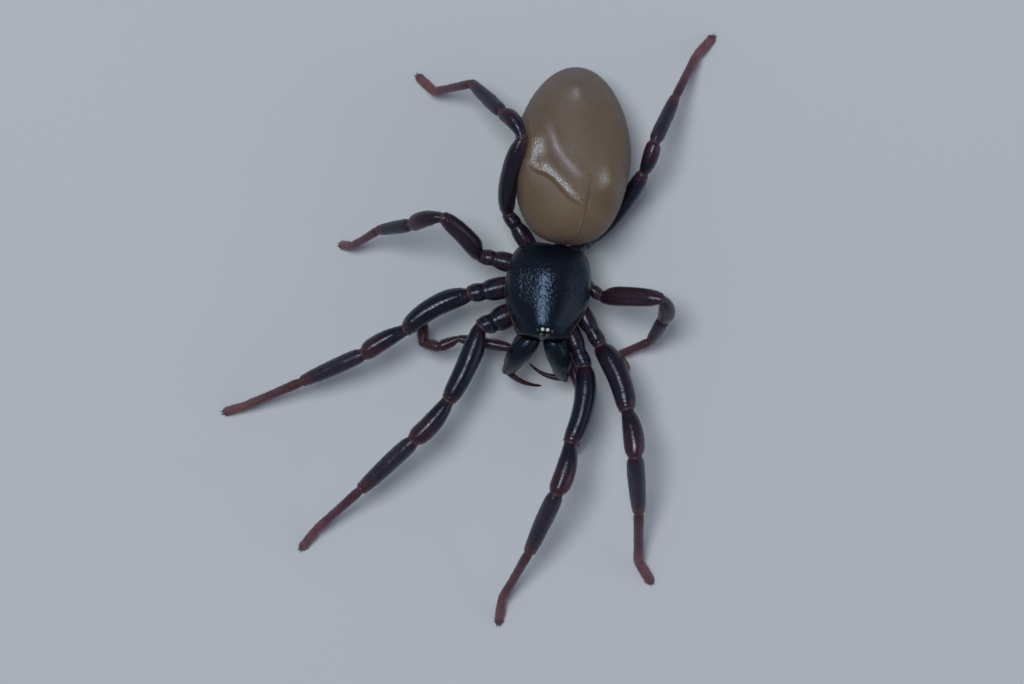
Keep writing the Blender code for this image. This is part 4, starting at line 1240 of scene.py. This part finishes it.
def make_floor():
    half = 0.6
    corners = [(-half, -half, 0), (half, -half, 0), (half, half, 0), (-half, half, 0)]
    data = bpy.data.meshes.new("floor")
    data.from_pydata(corners, [], [(0, 1, 2, 3)])
    data.materials.append(floor_material())
    floor = bpy.data.objects.new("floor", data)
    bpy.context.scene.collection.objects.link(floor)


def make_light(name, way, distance, diameter, power, colour):
    """Round soft light that shines on the middle of the model from the given direction."""
    data = bpy.data.lights.new(name, "AREA")
    data.shape = "DISK"
    data.size = diameter
    data.energy = power
    data.color = colour
    light = bpy.data.objects.new(name, data)
    way = unit(np.array(way, float))
    target = np.array((CAMERA_PLACE[0] + SHIFT[0], CAMERA_PLACE[1] + SHIFT[1], 2.0)) * MM
    light.location = target + way * distance
    light.rotation_euler = Vector(way).to_track_quat("Z", "Y").to_euler()
    bpy.context.scene.collection.objects.link(light)


def make_sky():
    """Even light that is dim and bluish overhead and brighter towards the horizon."""
    world = bpy.data.worlds.new("studio")
    world.use_nodes = True
    tree = world.node_tree
    split = tree.nodes.new("ShaderNodeSeparateXYZ")
    ramp = tree.nodes.new("ShaderNodeValToRGB")
    tree.links.new(tree.nodes.new("ShaderNodeTexCoord").outputs["Generated"], split.inputs[0])
    tree.links.new(split.outputs["Z"], ramp.inputs[0])
    tree.links.new(ramp.outputs[0], tree.nodes["Background"].inputs["Color"])
    stops = ramp.color_ramp.elements
    for height in SKY_STEPS[2:]:
        stops.new(height)
    for stop, height in zip(stops, sorted(SKY_STEPS)):
        share = math.sqrt(1 - height * height)
        stop.position = height
        stop.color = (*(SKY_OVERHEAD * (1 - share) + SKY_HORIZON * share), 1.0)
    bpy.context.scene.world = world


def make_studio():
    make_floor()
    make_light("key", (-0.175, 0.175, 1.0), 0.50, 0.21, 1.06, (0.96, 0.98, 1.0))
    make_light("fill", (1.0, -0.1, 0.36), 0.50, 0.36, 0.17, (0.95, 0.97, 1.0))
    make_sky()
    bpy.context.scene.view_settings.view_transform = "Standard"


def make_camera():
    data = bpy.data.cameras.new("camera")
    data.sensor_width = SENSOR_WIDTH
    data.lens = PHOTO_FOCUS / PHOTO_WIDTH * SENSOR_WIDTH
    data.clip_start, data.clip_end = 0.01, 10.0
    camera = bpy.data.objects.new("camera", data)
    camera.location = (np.array(CAMERA_PLACE) + SHIFT) * MM
    bpy.context.scene.collection.objects.link(camera)
    bpy.context.scene.camera = camera


def make_spider():
    shell, granular, membrane = shell_material(), carapace_material(), membrane_material()
    skin, lens, hair = abdomen_material(), eye_material(), hair_material()
    rng = np.random.default_rng(7)
    make_carapace(granular)
    make_sternum(shell)
    make_pleura(membrane)
    make_eyes(lens)
    make_pedicel(membrane)
    make_abdomen(skin, hair, rng)
    make_spinnerets(skin, hair, rng)
    for number, side in enumerate(("L", "R")):
        make_chelicera(side, granular, hair, rng)
        make_fang(side, shell)
        make_palp(side, number, shell, membrane, hair)
    for number, name in enumerate(LEG_POSES):
        make_leg(name, number, shell, membrane, hair)


make_camera()
make_studio()
make_spider()
